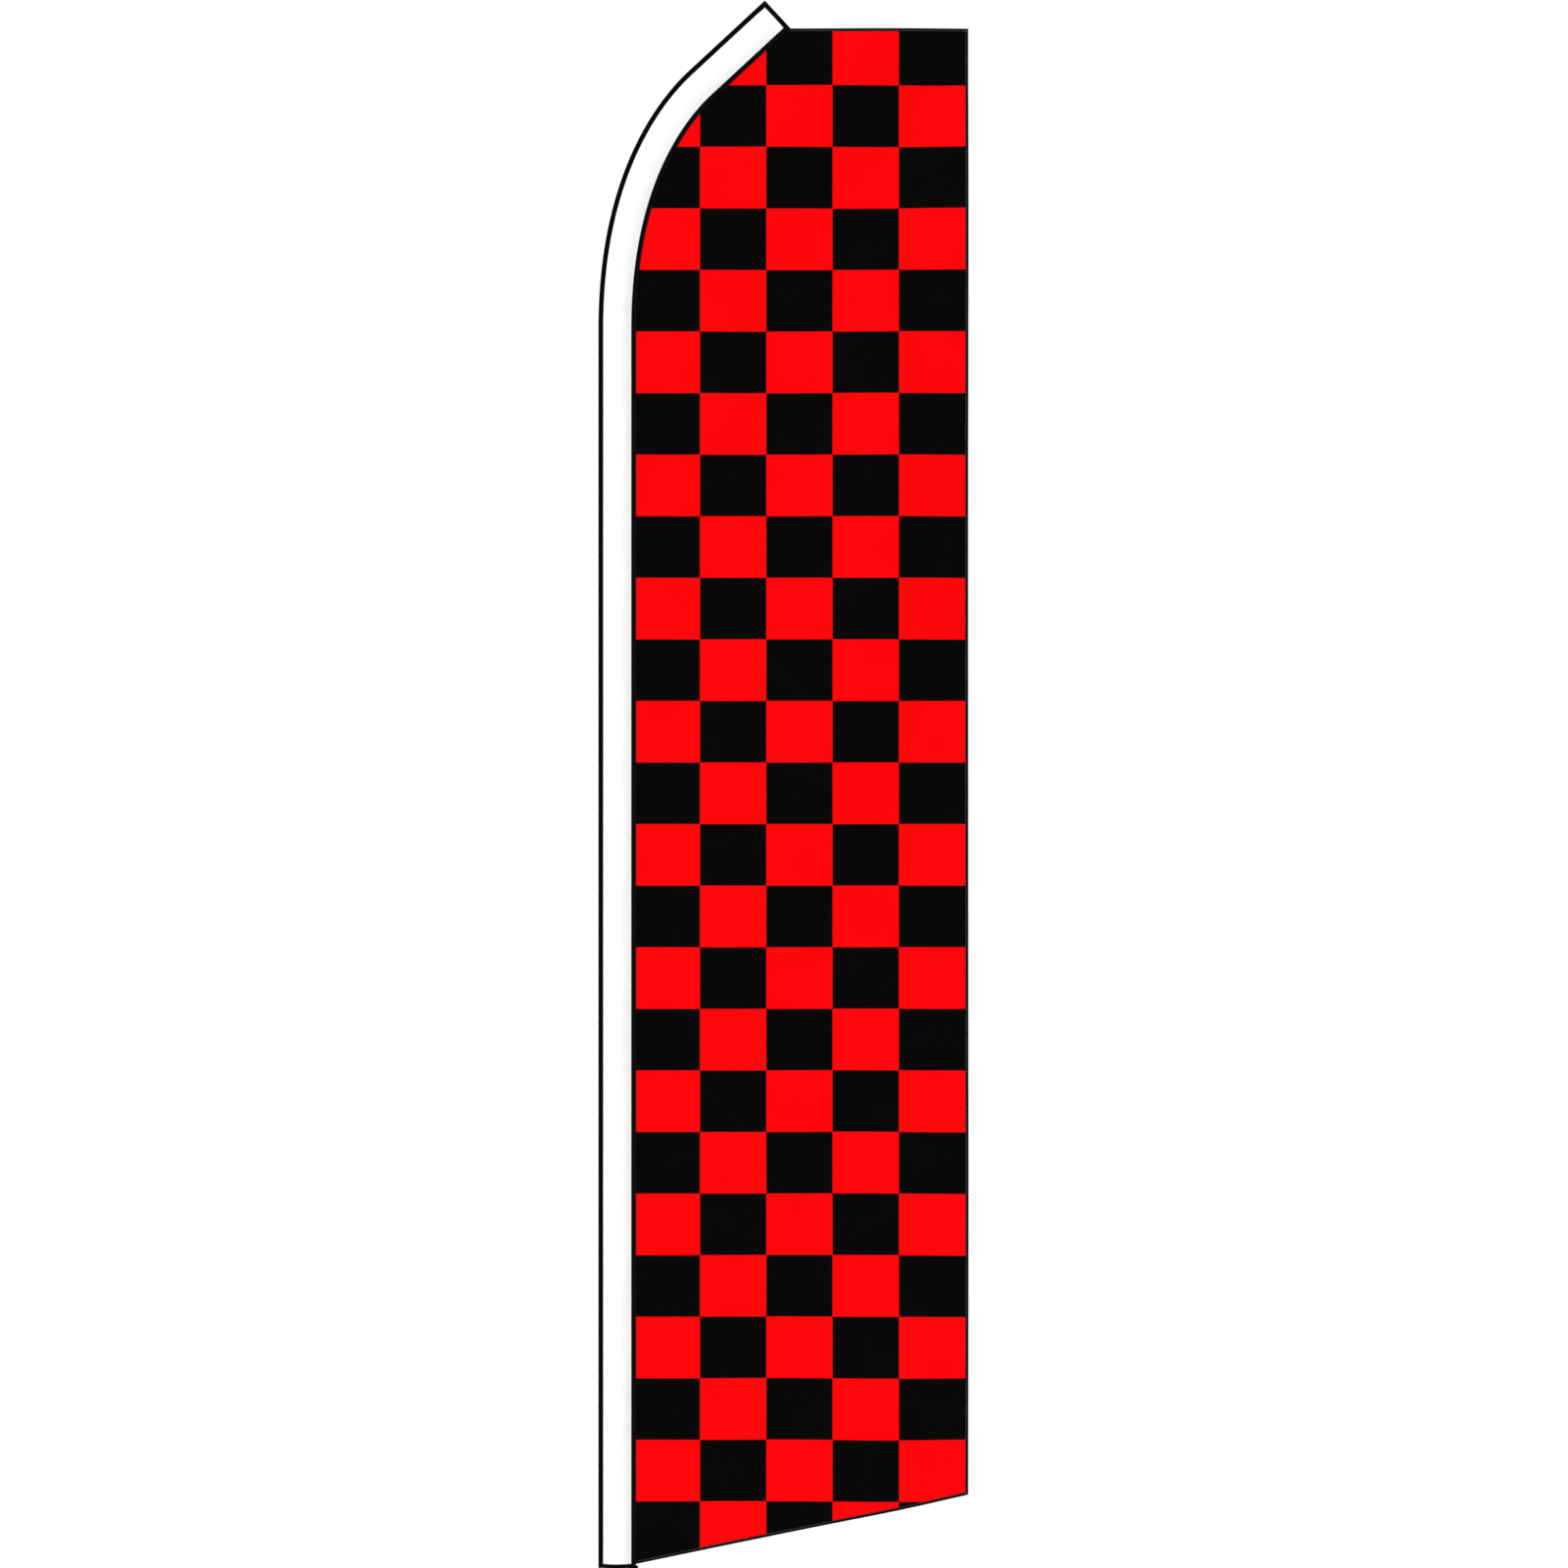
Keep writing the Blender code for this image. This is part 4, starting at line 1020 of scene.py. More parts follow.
def flat_area(x, z):
    """Area of the cut cloth laid flat, from the outline of its grid."""
    rim = rim_of(*x.shape)
    edge_x, edge_z = x.ravel()[rim], z.ravel()[rim]
    return abs(float(edge_x @ np.roll(edge_z, -1) - edge_z @ np.roll(edge_x, -1))) / 2


def fold_section(width, thickness, steps=5):
    """Section of a folded tape, as (inward, outward normal) pairs round its outline.

    Its fold is at 0, it is fullest over the turned-in edge, and it thins at the stitched lip.
    """
    half = thickness / 2
    fold = [
        (half * (1 - math.cos(a)), half * math.sin(a))
        for a in np.linspace(-math.pi / 2, math.pi / 2, 2 * steps + 1)
    ]
    shape = ((0.30, 1.04), (0.62, 0.94), (0.90, 0.80), (1.0, 0.55))
    upper = [(width * w, half * h) for w, h in shape]
    return fold + upper + [(w, -h) for w, h in reversed(upper)]


def tape_rings(edge, inward, normal, section):
    """Rings of a section swept along the edge line of a piece of cloth."""
    section = np.asarray(section)
    return (
        edge[:, None, :]
        + inward[:, None, :] * section[None, :, :1]
        + normal[:, None, :] * section[None, :, 1:]
    )


def tape_uv(edge, section):
    """Metres across and along a tape, for its weave."""
    return np.stack(np.meshgrid(distances(section), distances(edge)), axis=-1)


def hem_lines():
    """(node, x, z, inward direction) of the outer edge of each hem."""
    under_fly = FLY_X - HEM_UNDER_FLY
    top_x = np.linspace(float(seam_x(TOP_Z)) - HEM_TUCK, under_fly, HEM_POINTS["top_hem"])
    low_x = np.linspace(float(seam_x(MOUTH_Z)) - HEM_TUCK, under_fly, HEM_POINTS["bottom_hem"])
    fly_z = np.linspace(float(lower_edge(FLY_X)), TOP_Z, HEM_POINTS["fly_hem"])
    slope = LOWER_EDGE_RISE / FLAG_WIDTH
    up_slope = Vector((-slope, 0, 1)).normalized()
    return (
        ("top_hem", top_x, np.full_like(top_x, TOP_Z), -UP),
        ("bottom_hem", low_x, lower_edge(low_x), up_slope),
        ("fly_hem", np.full_like(fly_z, FLY_X), fly_z, -RIGHT),
    )


def build_hems():
    """Turned and stitched hems round the three free edges."""
    rows = []
    for node, x, z, inward in hem_lines():
        thickness = HEM_THICK[node]
        edge = on_cloth(x, z)
        normal = cloth_normals(x, z)
        inwards = np.tile(np.array(inward), (len(x), 1))
        for other in (units(np.gradient(edge, axis=0)), normal):
            inwards -= other * np.sum(inwards * other, axis=1)[:, None]
        inwards = units(inwards)
        section = fold_section(HEM_WIDTH, thickness)
        piece = make_loft(
            node + "_tape",
            tape_rings(edge, inwards, normal, section),
            [finish("tape")],
            FLAG_BODY,
            tape_uv(edge, section),
        )
        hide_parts(node)
        line = edge + inwards * HEM_WIDTH * HEM_STITCH_LINE
        lift = normal * thickness * STITCH_LIFT
        rows += [(line, -lift), (line, lift)]
    stitches = make_stitches("hem_stitches", rows, "hem_thread")


def make_stitches(name, rows, thread):
    """Lockstitches along lines; each row is (points, lift off the line to the surface)."""
    pitch, wide = cloth().stitch_pitch, cloth().thread_width / 2
    steps = np.array(STITCH_STEPS) * pitch * STITCH_SHARE
    rises, widths = np.array(STITCH_RISE) * wide, np.array(STITCH_WIDTH) * wide
    around, nearby = len(THREAD_RING), 0.001
    side_faces = grid_faces(len(steps), around, wrap=True)
    caps = [list(range(around)), list(range(around * 3, around * 4))]
    points, faces = [], []
    for line, lift in rows:
        along = distances(line)
        count = max(1, int(along[-1] / pitch))
        places = (np.arange(count) + 0.5) * along[-1] / count
        lifts = sampled(places, along, lift)
        spots = sampled(places, along, line) + lifts
        ahead = sampled(places + nearby, along, line)
        runs = units(ahead - sampled(places - nearby, along, line))
        outs = units(lifts)
        for spot, run, out, side in zip(spots, runs, outs, np.cross(runs, outs)):
            first = len(points)
            for step, rise, width in zip(steps, rises, widths):
                middle = spot + run * step + out * rise
                points += [middle + out * width * a + side * width * b for a, b in THREAD_RING]
            faces += (side_faces + first).tolist()
            faces += [[first + i for i in cap] for cap in caps]
    return make_piece(name, points, faces, [finish(thread)], FLAG_BODY, sharp=80)


# ================================================================ sleeve
def stations(start, end, bend_step=0.006, straight_step=0.020):
    """Distances along the sleeve, close together round its bend."""
    marks, d = [start], start
    before_bend = BEND_START - 0.05
    while d < end:
        d += bend_step if d > before_bend else straight_step
        marks.append(min(d, end))
    return np.unique(np.round(marks, 6))


def bulk(distance):
    """Half thickness of the sleeve where it goes round the pole, as the frame has it."""
    mouth = high("pole_sleeve").y
    bend = high("upper_stop_ring").x + (mouth - high("lower_stop_ring").x)
    patch = high("tip_pocket_patch").y
    shut = SLEEVE_LENGTH - MOUTH_TAPE
    marks = [0.0, BEND_START, shut - SLEEVE_CLOSING, shut]
    return np.interp(distance, marks, [mouth, bend, patch + LINING_DEPTH, SLEEVE_SHUT])


def sleeve_section(distance, half_width, thinner=0.0):
    """Rings of the sleeve's soft lens section, with the creases the bend puts in it."""
    distance = np.atleast_1d(distance)
    turn = np.linspace(0, math.tau, SLEEVE_SIDES, endpoint=False)
    across = -np.cos(turn)
    side = np.sign(np.sin(turn)) * (np.abs(np.sin(turn)) > 1e-9)
    full = bulk(distance)[:, None] - thinner
    lip = SLEEVE_LIP - thinner * 0.8
    depth = lip + (full - lip) * (1 - across[None, :] ** 2) ** SLEEVE_ROUNDNESS
    depth = depth - sleeve_creases(distance[:, None], across[None, :], side[None, :])
    forward = depth * side[None, :]
    middle, aside = on_line(distance)
    rings = middle[:, None, :] + aside[:, None, :] * (across * half_width)[None, :, None]
    rings[:, :, 1] -= forward
    return rings


def sleeve_creases(distance, across, side):
    """Depth of the soft folds: short ones inside the bend, long ones down the straight."""
    in_bend = np.exp(-(((distance - BEND_START - FOLD_PLACE) / FOLD_REACH) ** 2))
    body = 1 - across**2
    inner = np.clip(0.25 + across, 0.0, 1.0) * body
    short = np.sin(math.tau * distance / 0.052 + 1.9 * np.sin(distance * 17) + side)
    long = np.sin(math.tau * (distance / 0.83 + across * 0.35) + side * 1.3)
    drag = np.sin(math.tau * (distance / 0.31 - across * 0.9) + side * 0.7)
    fade_in = np.clip(distance / SMOOTH_MOUTH, 0, 1)
    fade_out = np.clip((SLEEVE_LENGTH - SMOOTH_TIP - distance) / SMOOTH_FADE, 0, 1)
    soft = body * (LONG_FOLD * long + DRAG_FOLD * drag + SLACK)
    return fade_out * fade_in * (SHORT_FOLD * in_bend * inner * (1 + short) + soft)


def sleeve_uv(distance, half_width):
    """Metres round and along the sleeve, for its weave."""
    around = np.linspace(0, 2.2 * math.pi * half_width, SLEEVE_SIDES)
    return np.stack(np.meshgrid(around, distance), axis=-1)


def build_sleeve():
    """The white pole pocket, open at its mouth and flattened shut at its tip."""
    along = stations(SLEEVE_START, SLEEVE_END)
    seam_depth = 0.004
    shorter = 1 - seam_depth / (SLEEVE_END - SLEEVE_START)
    inner_along = SLEEVE_START + (along - SLEEVE_START) * shorter
    sleeve = make_loft(
        "sleeve_cloth",
        sleeve_section(along, CLOTH_HALF),
        [finish("sleeve")],
        FLAG_BODY,
        sleeve_uv(along, CLOTH_HALF),
        inside=sleeve_section(inner_along, CLOTH_HALF - SLEEVE_WALL, SLEEVE_WALL),
        blind=True,
        sharp=60,
    )
    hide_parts("pole_sleeve")
    build_mouth_tape()


def tube_of_cloth(rings):
    """Greatest girth, length and area of the cloth in a sewn tube."""
    closed = np.concatenate([rings, rings[:, :1]], axis=1)
    girth = np.linalg.norm(np.diff(closed, axis=1), axis=2).sum(axis=1)
    steps = np.linalg.norm(np.diff(rings.mean(axis=1), axis=0), axis=1)
    area = float((girth[1:] + girth[:-1]) @ steps) / 2
    return (float(girth.max()), float(steps.sum())), area


def declare_sleeve():
    """Measures the pocket as a strip of cloth folded lengthwise round the pole: its girth, length
    and area, which nothing uses.
    """
    along = stations(SLEEVE_START, SLEEVE_END)
    flat, area = tube_of_cloth(sleeve_section(along, CLOTH_HALF))


def build_mouth_tape():
    """Tape folded over the sleeve's open end."""
    wall, proud, half = 0.0007, 0.0004, CLOTH_HALF + 0.0020
    marks = np.array([0.0, 0.0006, 0.0016, 0.004, 0.007, MOUTH_TAPE - 0.0006, MOUTH_TAPE])
    swell = np.array([-0.0006, -0.0001, 0.0, 0.0, 0.0, 0.0, -0.0005])
    rings = [sleeve_section(m, half + s, -s - proud)[0] for m, s in zip(marks, swell)]
    lining = sleeve_section(marks, half - wall, wall)
    tape = make_loft(
        "mouth_tape",
        rings,
        [finish("tape")],
        FLAG_BODY,
        sleeve_uv(marks, half)[..., ::-1],
        inside=lining,
        sharp=60,
    )
    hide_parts("sleeve_mouth_binding")
    stitch_z, offset, lift = 0.0078, 0.001, 0.0005
    loop = sleeve_section(stitch_z, half)[0]
    out = units(sleeve_section(stitch_z, half + offset, -offset)[0] - loop)
    loop, out = np.vstack([loop, loop[:1]]), np.vstack([out, out[:1]])
    stitches = make_stitches("mouth_stitches", [(loop, out * lift)], "dark_thread")


# ================================================================ tapes along the sleeve
def flat_tape_section(near, far, thickness, bulge=0.10):
    """Section of a tape folded flat over a seam, between two offsets across the sleeve."""
    middle, half = (near + far) / 2, (far - near) / 2
    turn = np.linspace(0, math.tau, 20, endpoint=False)
    squareness = 0.38
    x, y = (np.sign(wave) * np.abs(wave) ** squareness for wave in (np.cos(turn), np.sin(turn)))
    lift = 1 + bulge * (1 - x**2)
    return np.stack([middle + half * x, y * lift * thickness / 2 / (1 + bulge)], axis=1)


def build_bindings():
    """Black tapes down both edges of the sleeve and over its tip."""
    thick = TAPE_THICK * 0.92
    edges = (
        ("sleeve_edge_binding", -SLEEVE_HALF, -CLOTH_HALF + EDGE_LAP, (0.76,)),
        ("sleeve_seam_binding", CLOTH_HALF - SEAM_LAP, SLEEVE_HALF + FLAG_LAP, (0.20, 0.80)),
    )
    rows = []
    for node, near, far, shares in edges:
        along = stations(0.0, SLEEVE_LENGTH - MOUTH_TAPE * 0.5)
        section = flat_tape_section(near, far, thick)
        rings = offset_rings(along, section, node)
        piece = make_loft(
            node.replace("binding", "tape"),
            rings,
            [finish("tape")],
            FLAG_BODY,
            tape_uv(beside(along, near), section),
        )
        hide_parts(node)
        for share in shares:
            offset = near + (far - near) * share
            line = beside(stations(SLEEVE_START, SLEEVE_LENGTH - MOUTH_TAPE), offset)
            lift = np.tile([0.0, 1.0, 0.0], (len(line), 1)) * thick * 0.47
            rows += [(line, -lift), (line, lift)]
    stitches = make_stitches("sleeve_stitches", rows, "dark_thread")
    build_tip_tape()


def offset_rings(along, section, node):
    """The section swept along the sleeve, puckered a little between its stitches."""
    depth, length, drift = 0.035, 0.047, 29
    pucker = 1 + depth * np.sin(math.tau * along / length + len(node)) * np.sin(along * drift)
    middle, aside = on_line(along)
    rings = middle[:, None, :] + aside[:, None, :] * section[None, :, :1]
    rings[:, :, 1] -= section[None, :, 1] * pucker[:, None]
    return rings


def build_tip_tape():
    """Tape folded over the shut end, standing a little way past it."""
    start, end = SLEEVE_LENGTH - MOUTH_TAPE, SLEEVE_LENGTH + TIP_LAP
    thick = TAPE_THICK * 0.90
    section = flat_tape_section(-SLEEVE_HALF, SLEEVE_HALF, thick, 0.02)
    onward = np.array([math.sin(TIP_ANGLE), 0.0, math.cos(TIP_ANGLE)])
    marks = [start, start + 0.0008, (start + end) / 2, end - 0.0012, end]
    scale = [0.90, 1.0, 1.04, 0.92, 0.55]
    rings = [
        offset_rings(np.array([m]), section * np.array([1.0, k]), "tip")[0]
        + onward * max(m - SLEEVE_LENGTH, 0.0)
        for m, k in zip(marks, scale)
    ]
    piece = make_loft(
        "sleeve_tip_tape",
        rings,
        [finish("tape")],
        FLAG_BODY,
        tape_uv(beside(np.array(marks), 0.0), section)[..., ::-1],
    )
    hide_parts("sleeve_tip_binding")
    margin, inset = 0.004, 0.0025
    across = np.linspace(-SLEEVE_HALF + margin, SLEEVE_HALF - margin, 20)
    line = np.array([beside(start + inset, a)[0] for a in across])
    lift = np.tile([0.0, 1.0, 0.0], (len(line), 1)) * TAPE_THICK * 0.455
    stitches = make_stitches("tip_stitches", [(line, -lift), (line, lift)], "dark_thread")


# ================================================================ tie-down
def build_tie_down():
    """Webbing tab, rivet, rubber strap, and the clamp with its screw."""
    tab_low, tab_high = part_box("hem_tab")
    x = middle_of("hem_tab").x
    rivet_z = middle_of("tab_rivet").z
    stud_z = middle_of("tension_collar").z
    build_tab(tab_low, tab_high, x)
    build_strap(x, rivet_z, stud_z)
    build_rivet(x, rivet_z)
    build_collar(x, stud_z)


def build_tab(tab_low, tab_high, x):
    """Webbing tab sewn under the seam, with its box of stitches."""
    wide, tall = tab_high.x - tab_low.x, tab_high.z - tab_low.z
    columns, rows, sewn_in = 24, 40, 0.006
    a = np.linspace(-0.5, 0.5, columns)[None, :] * wide
    b = np.linspace(0.0, 1.0, rows)[:, None] * (tall + sewn_in)
    drift = 0.00025 * np.sin(b * 260) * np.cos(a * 160)
    gx, gz = x + a + 0 * b, tab_low.z + b + 0 * a
    surface = np.stack([gx, drift + 0 * gx, gz], axis=-1)
    normals = np.zeros_like(surface)
    normals[..., 1] = 1.0
    taper = 1 - 0.35 * (np.abs(a) / (wide / 2)) ** 8
    uv = np.stack([gx, gz], axis=-1)
    normals = normals * taper[..., None]
    tab = make_sheet("tie_tab", surface, normals, TAB_THICK, [finish("webbing")] * 3, uv)
    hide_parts("hem_tab")
    reach, gap, lift = wide / 2 - 0.0025, 0.0015, 0.0009
    top, bottom = tab_high.z - gap, high("tab_rivet").z + gap
    corners = ((-1, bottom), (1, bottom), (1, top), (-1, top), (-1, bottom))
    box = [(x + reach * side, 0, z) for side, z in corners]
    rows = []
    for side in (-1, 1):
        for start, end in zip(box, box[1:]):
            line = np.linspace(start, end, 8)
            rows.append((line, np.tile([0, side * lift, 0], (len(line), 1))))
    stitches = make_stitches("tab_stitches", rows, "hem_thread")


def build_strap(x, rivet_z, stud_z):
    """Waisted rubber strap with an eye at each end and three more to choose from."""
    strap_low, strap_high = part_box("tension_strap")
    half = (strap_high.x - strap_low.x) / 2
    length = rivet_z - stud_z
    steps, waist, bevel = 24, 0.20, 0.0006

    def narrowed(px, py):
        share = min(1, max(0, py / length))
        return px * (1 - waist * math.sin(math.pi * share) ** 2), py

    foot = [narrowed(*p) for p in circle(half, 0, 0, steps, 180, 360)]
    head = [narrowed(*p) for p in circle(half, 0, length, steps, 0, 180)]
    right = [narrowed(half, length * t) for t in np.linspace(0.04, 0.96, 20)]
    left = [(-px, py) for px, py in reversed(right)]
    stud_eye, rivet_eye, spare_eye = 0.0038, 0.0029, 0.0026
    eyes = [circle(stud_eye, 0, 0, 28), circle(rivet_eye, 0, length, 28)]
    eyes += [circle(spare_eye, 0, length * t, 20) for t in (0.24, 0.40, 0.56)]
    strap = make_plate(
        "tension_strap_rubber",
        [foot + right + head + left, *eyes],
        strap_high.y - strap_low.y,
        bevel,
        facing_front(x, stud_z, middle_of("tension_strap").y),
        finish("rubber"),
        FLAG_BODY,
    )
    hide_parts("tension_strap")


def build_rivet(x, z):
    """Domed rivet, set over at the back."""
    near, far = low("tab_rivet").y, high("tab_rivet").y
    head = (high("tab_rivet").x - low("tab_rivet").x) / 2
    thick, shank = 0.0012, 0.0025
    length = far - near
    dome = np.linspace(0.2, 1.45, 7)
    profile = [
        (0, 0),
        *[(head * math.sin(a), thick * (1 - math.cos(a)) * 0.9) for a in dome],
        (head, thick * 0.95),
        (head * 0.97, thick),
        (shank, thick),
        (shank, length - thick),
        (head * 0.97, length - thick),
        (head, length - thick * 0.7),
        (head * 0.92, length - thick * 0.1),
        (head * 0.60, length - thick * 0.05),
        (head * 0.50, length - thick * 0.45),
        (0, length - thick * 0.5),
    ]
    place = facing_back(x, z, near)
    rivet = make_turned("tab_rivet_brass", profile, finish("brass"), FLAG_BODY, SMALL_SIDES, place)
    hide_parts("tab_rivet")


def build_collar(x, z):
    """Split clamp with two ears and a lug, its stud, its screw and its nut."""
    collar_low, collar_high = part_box("tension_collar")
    tall = collar_high.z - collar_low.z
    bore = high("base_tube").x + PLAY
    outer = collar_high.y
    slit, ear_thick, round_off, bevel = 0.001, 0.005, 0.001, 0.0007
    ear = slit + ear_thick
    ear_x, lug_x = collar_low.x, collar_high.x
    lug_front, lug_back, lug_root = -0.001, 0.005, outer + 0.003

    def turn(radius, y):
        return math.degrees(math.asin(y / radius))

    outline = [
        *circle(outer, 0, 0, 40, turn(outer, lug_back) + 6, 180 - turn(outer, ear) - 3),
        (ear_x + round_off, ear),
        (ear_x, ear - round_off),
        (ear_x, slit),
        *circle(bore, 0, 0, 72, 180 - turn(bore, slit), turn(bore, slit) - 180),
        (ear_x, -slit),
        (ear_x, -ear + round_off),
        (ear_x + round_off, -ear),
        *circle(outer, 0, 0, 40, turn(outer, ear) - 180 + 3, turn(outer, lug_front) - 6),
        (lug_root, lug_front),
        (lug_x - round_off, lug_front),
        (lug_x, lug_front + round_off),
        (lug_x, lug_back - round_off),
        (lug_x - round_off, lug_back),
        (lug_root, lug_back),
    ]
    place = Matrix.Translation((0, 0, z))
    clamp = make_plate("clamp_collar", [outline], tall, bevel, place, finish("nylon"), FLAG_BODY)
    neck, rim, face, head_thick = 0.0034, 0.0060, 0.0048, 0.002
    head_back, root = low("tension_strap").y - PLAY, lug_front + 0.001
    head_front = head_back - head_thick
    head = [(face, head_front), (rim, head_back - head_thick / 2), (rim, head_back)]
    stud = [
        (0, head_front),
        *eased(head, 0.0004, 3),
        (neck, head_back),
        (neck, root),
        (0, root),
    ]
    along_y = facing_back(x, z)
    knob = make_turned("clamp_stud", stud, finish("nylon"), FLAG_BODY, SMALL_SIDES, along_y)
    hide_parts("tension_collar")
    build_clamp_screw(z)


def build_clamp_screw(z):
    """Socket-head screw through the clamp's ears, and its nut."""
    screw_low, screw_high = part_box("collar_screw")
    nut_low, nut_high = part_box("collar_nut")
    x = middle_of("collar_screw").x
    head, shank, tall = (screw_high.x - screw_low.x) / 2, 0.0020, 0.0030
    socket, pitch = 0.0015, 0.0007
    near, far = screw_low.y, screw_high.y
    rim = [(head * 0.9, near), (head, near + 0.0004), (head, near + tall)]
    profile = [
        (0, near + 0.0016),
        (socket - 0.0001, near + 0.0014),
        (socket, near),
        *eased(rim, 0.0003, 3, closed=False)[1:],
        (shank, near + tall),
        *thread_profile(shank, near + tall + 0.0008, far - 0.0006, pitch),
        (shank * 0.8, far),
        (0, far),
    ]
    screw = make_turned("clamp_screw", profile, finish("plated"), FLAG_BODY, 40, facing_back(x, z))
    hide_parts("collar_screw")
    flats = nut_high.x - nut_low.x
    thick = nut_high.y - nut_low.y
    middle = facing_back(x, z, middle_of("collar_nut").y)
    make_nut("clamp_nut", "collar_nut", flats, shank + PLAY, thick, middle, FLAG_BODY)


def thread_profile(radius, start, end, pitch):
    """Crests and roots of a screw thread, as turned rings."""
    points, root = [], radius - pitch * 0.35
    for k in range(int((end - start) / pitch)):
        z = start + k * pitch
        points += [(radius, z), (radius, z + pitch * 0.3), (root, z + pitch * 0.65)]
    return points


def make_nut(name, node, flats, bore, thick, place, body):
    """Hexagon nut with its corners chamfered."""
    corner, chamfer = flats / 2 / math.cos(math.pi / 6), 0.0004
    outline = eased(circle(corner, steps=6), chamfer, 2)
    outlines = [outline, circle(bore, steps=36)]
    nut = make_plate(name, outlines, thick, chamfer, place, finish("plated"), body)
    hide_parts(node)


# ================================================================ pole
def ring_section(inner, outer, start, end, ease=0.0004):
    """Section of a plain ring with its four corners eased."""
    return eased([(inner, start), (outer, start), (outer, end), (inner, end)], ease)


def build_pole():
    """Four sections, the rings that stop them, and the tip that bends the sleeve."""
    tubes = (
        ("base_tube", "pole_base"),
        ("lower_mid_tube", "pole_lower_mid"),
        ("upper_mid_tube", "pole_upper_mid"),
    )
    for node, body in tubes:
        outer, start, end = high(node).x, low(node).z, high(node).z
        bore = outer - TUBE_WALL
        name = node.replace("_tube", "_section")
        marks = (start + 0.040, start + 0.052, end - 0.024, end - 0.012)
        outside = [point for z in marks for point in rolled_groove(outer, z)]
        corners = [(bore, start), (outer, start), *outside, (outer, end), (bore, end)]
        tube = make_turned(name, eased(corners, 0.0004), finish("tube"), body)
        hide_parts(node)
    rings = (
        ("lower_stop_ring", "lower_mid_tube", "pole_lower_mid", 0.7),
        ("upper_stop_ring", "upper_mid_tube", "pole_upper_mid", 0.7),
        ("foot_ring", "base_tube", "pole_base", 0.8),
    )
    thin_lip = 0.0009
    for node, tube_node, body, share in rings:
        inner, outer = high(tube_node).x + PLAY, high(node).x
        start, end = low(node).z, high(node).z
        knee = start + (end - start) * share
        slope_end = inner + thin_lip
        grooves = [(outer, knee)]
        if node == "foot_ring":
            grooves = foot_grooves(outer, start, knee)
        corners = [(inner, start), (outer, start), *grooves, (slope_end, end), (inner, end)]
        ring = make_turned(node + "_moulding", eased(corners, 0.0005, 3), finish("nylon"), body)
        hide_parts(node)
    build_tip()


def rolled_groove(radius, z, depth=0.0004, width=0.0020):
    """A shallow groove rolled round a tube."""
    return [
        (radius, z - width / 2),
        (radius - depth, z - width / 6),
        (radius - depth, z + width / 6),
        (radius, z + width / 2),
    ]


def foot_grooves(outer, start, knee):
    """Four finger grooves round the foot guard."""
    points, floor = [], outer - 0.0006
    for k in range(4):
        z = start + (knee - start) * (0.18 + 0.2 * k)
        points += [(outer, z), (floor, z + 0.0006), (floor, z + 0.0016), (outer, z + 0.0022)]
    return [*points, (outer, knee)]


def build_tip():
    """Ferrule, tapered rod and rubber cap."""
    ferrule_low, ferrule_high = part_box("tip_ferrule")
    plug = high("upper_mid_tube").x - TUBE_WALL - PLAY
    flange = high("upper_mid_tube").x
    bore = high("tip_rod").y + PLAY
    shoulder = high("upper_mid_tube").z + PLAY
    top = ferrule_high.z
    corners = [
        (bore, ferrule_low.z),
        (plug, ferrule_low.z),
        (plug, shoulder),
        (flange, shoulder),
        (flange, top - 0.004),
        (bore + 0.0013, top),
        (bore, top),
    ]
    ferrule = make_turned("rod_ferrule", eased(corners, 0.0005, 3), finish("tube"), FLAG_BODY)
    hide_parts("tip_ferrule")
    first = low("tip_rod").z - MOUTH_Z
    last, thin_end = SLEEVE_LENGTH - 0.030, 0.0035
    along = stations(first, last, 0.012, 0.05)
    radius = np.interp(along, [first, last], [high("tip_rod").y, thin_end])[:, None]
    turn = np.linspace(0, math.tau, 28, endpoint=False)[None, :]
    middle, aside = on_line(along)
    rings = middle[:, None, :] + aside[:, None, :] * (np.cos(turn) * radius)[..., None]
    rings[:, :, 1] -= np.sin(turn) * radius
    rod = make_loft("tapered_rod", rings, [finish("fibreglass")], FLAG_BODY)
    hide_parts("tip_rod")
    place = Matrix.Translation(beside(last, 0.0)[0]) @ Matrix.Rotation(TIP_ANGLE, 4, "Y")
    cap_radius, dome, grip, wall_in = 0.0065, 0.0060, 0.020, 0.0044
    rib_depth, rib_pitch, first_rib = 0.0004, 0.0026, -0.014
    ribs = []
    for k in range(5):
        z = first_rib + k * rib_pitch
        ribs += [(cap_radius, z), (cap_radius - rib_depth, z + 0.001)]
    profile = [
        (0, PLAY),
        (wall_in, PLAY),
        (wall_in, -grip),
        (cap_radius * 0.85, -grip),
        (cap_radius, -grip * 0.8),
        *ribs,
        (cap_radius, 0),
        *[(r, z * dome / cap_radius) for r, z in arc(cap_radius, 0.05, math.pi / 2, 12)[:-1]],
        (0, dome),
    ]
    cap = make_turned("rod_cap", profile, finish("rubber"), FLAG_BODY, SMALL_SIDES, place)
    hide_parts("tip_cap")
    build_lining()


def build_lining():
    """Canvas that lines the closed end of the sleeve, where the rod's cap presses."""
    end = SLEEVE_LENGTH - MOUTH_TAPE - SLEEVE_CLOSING - 0.0005
    along = np.linspace(end - LINING_LENGTH, end, 24)
    half = CLOTH_HALF - 0.0033
    outside = sleeve_section(along, half, LINING_DEPTH)
    inside = sleeve_section(along, half - LINING_WALL, LINING_DEPTH + LINING_WALL)
    uv = sleeve_uv(along, half)
    canvas = [finish("canvas")]
    lining = make_loft("tip_lining", outside, canvas, FLAG_BODY, uv, inside=inside)
    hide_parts("tip_pocket_patch")


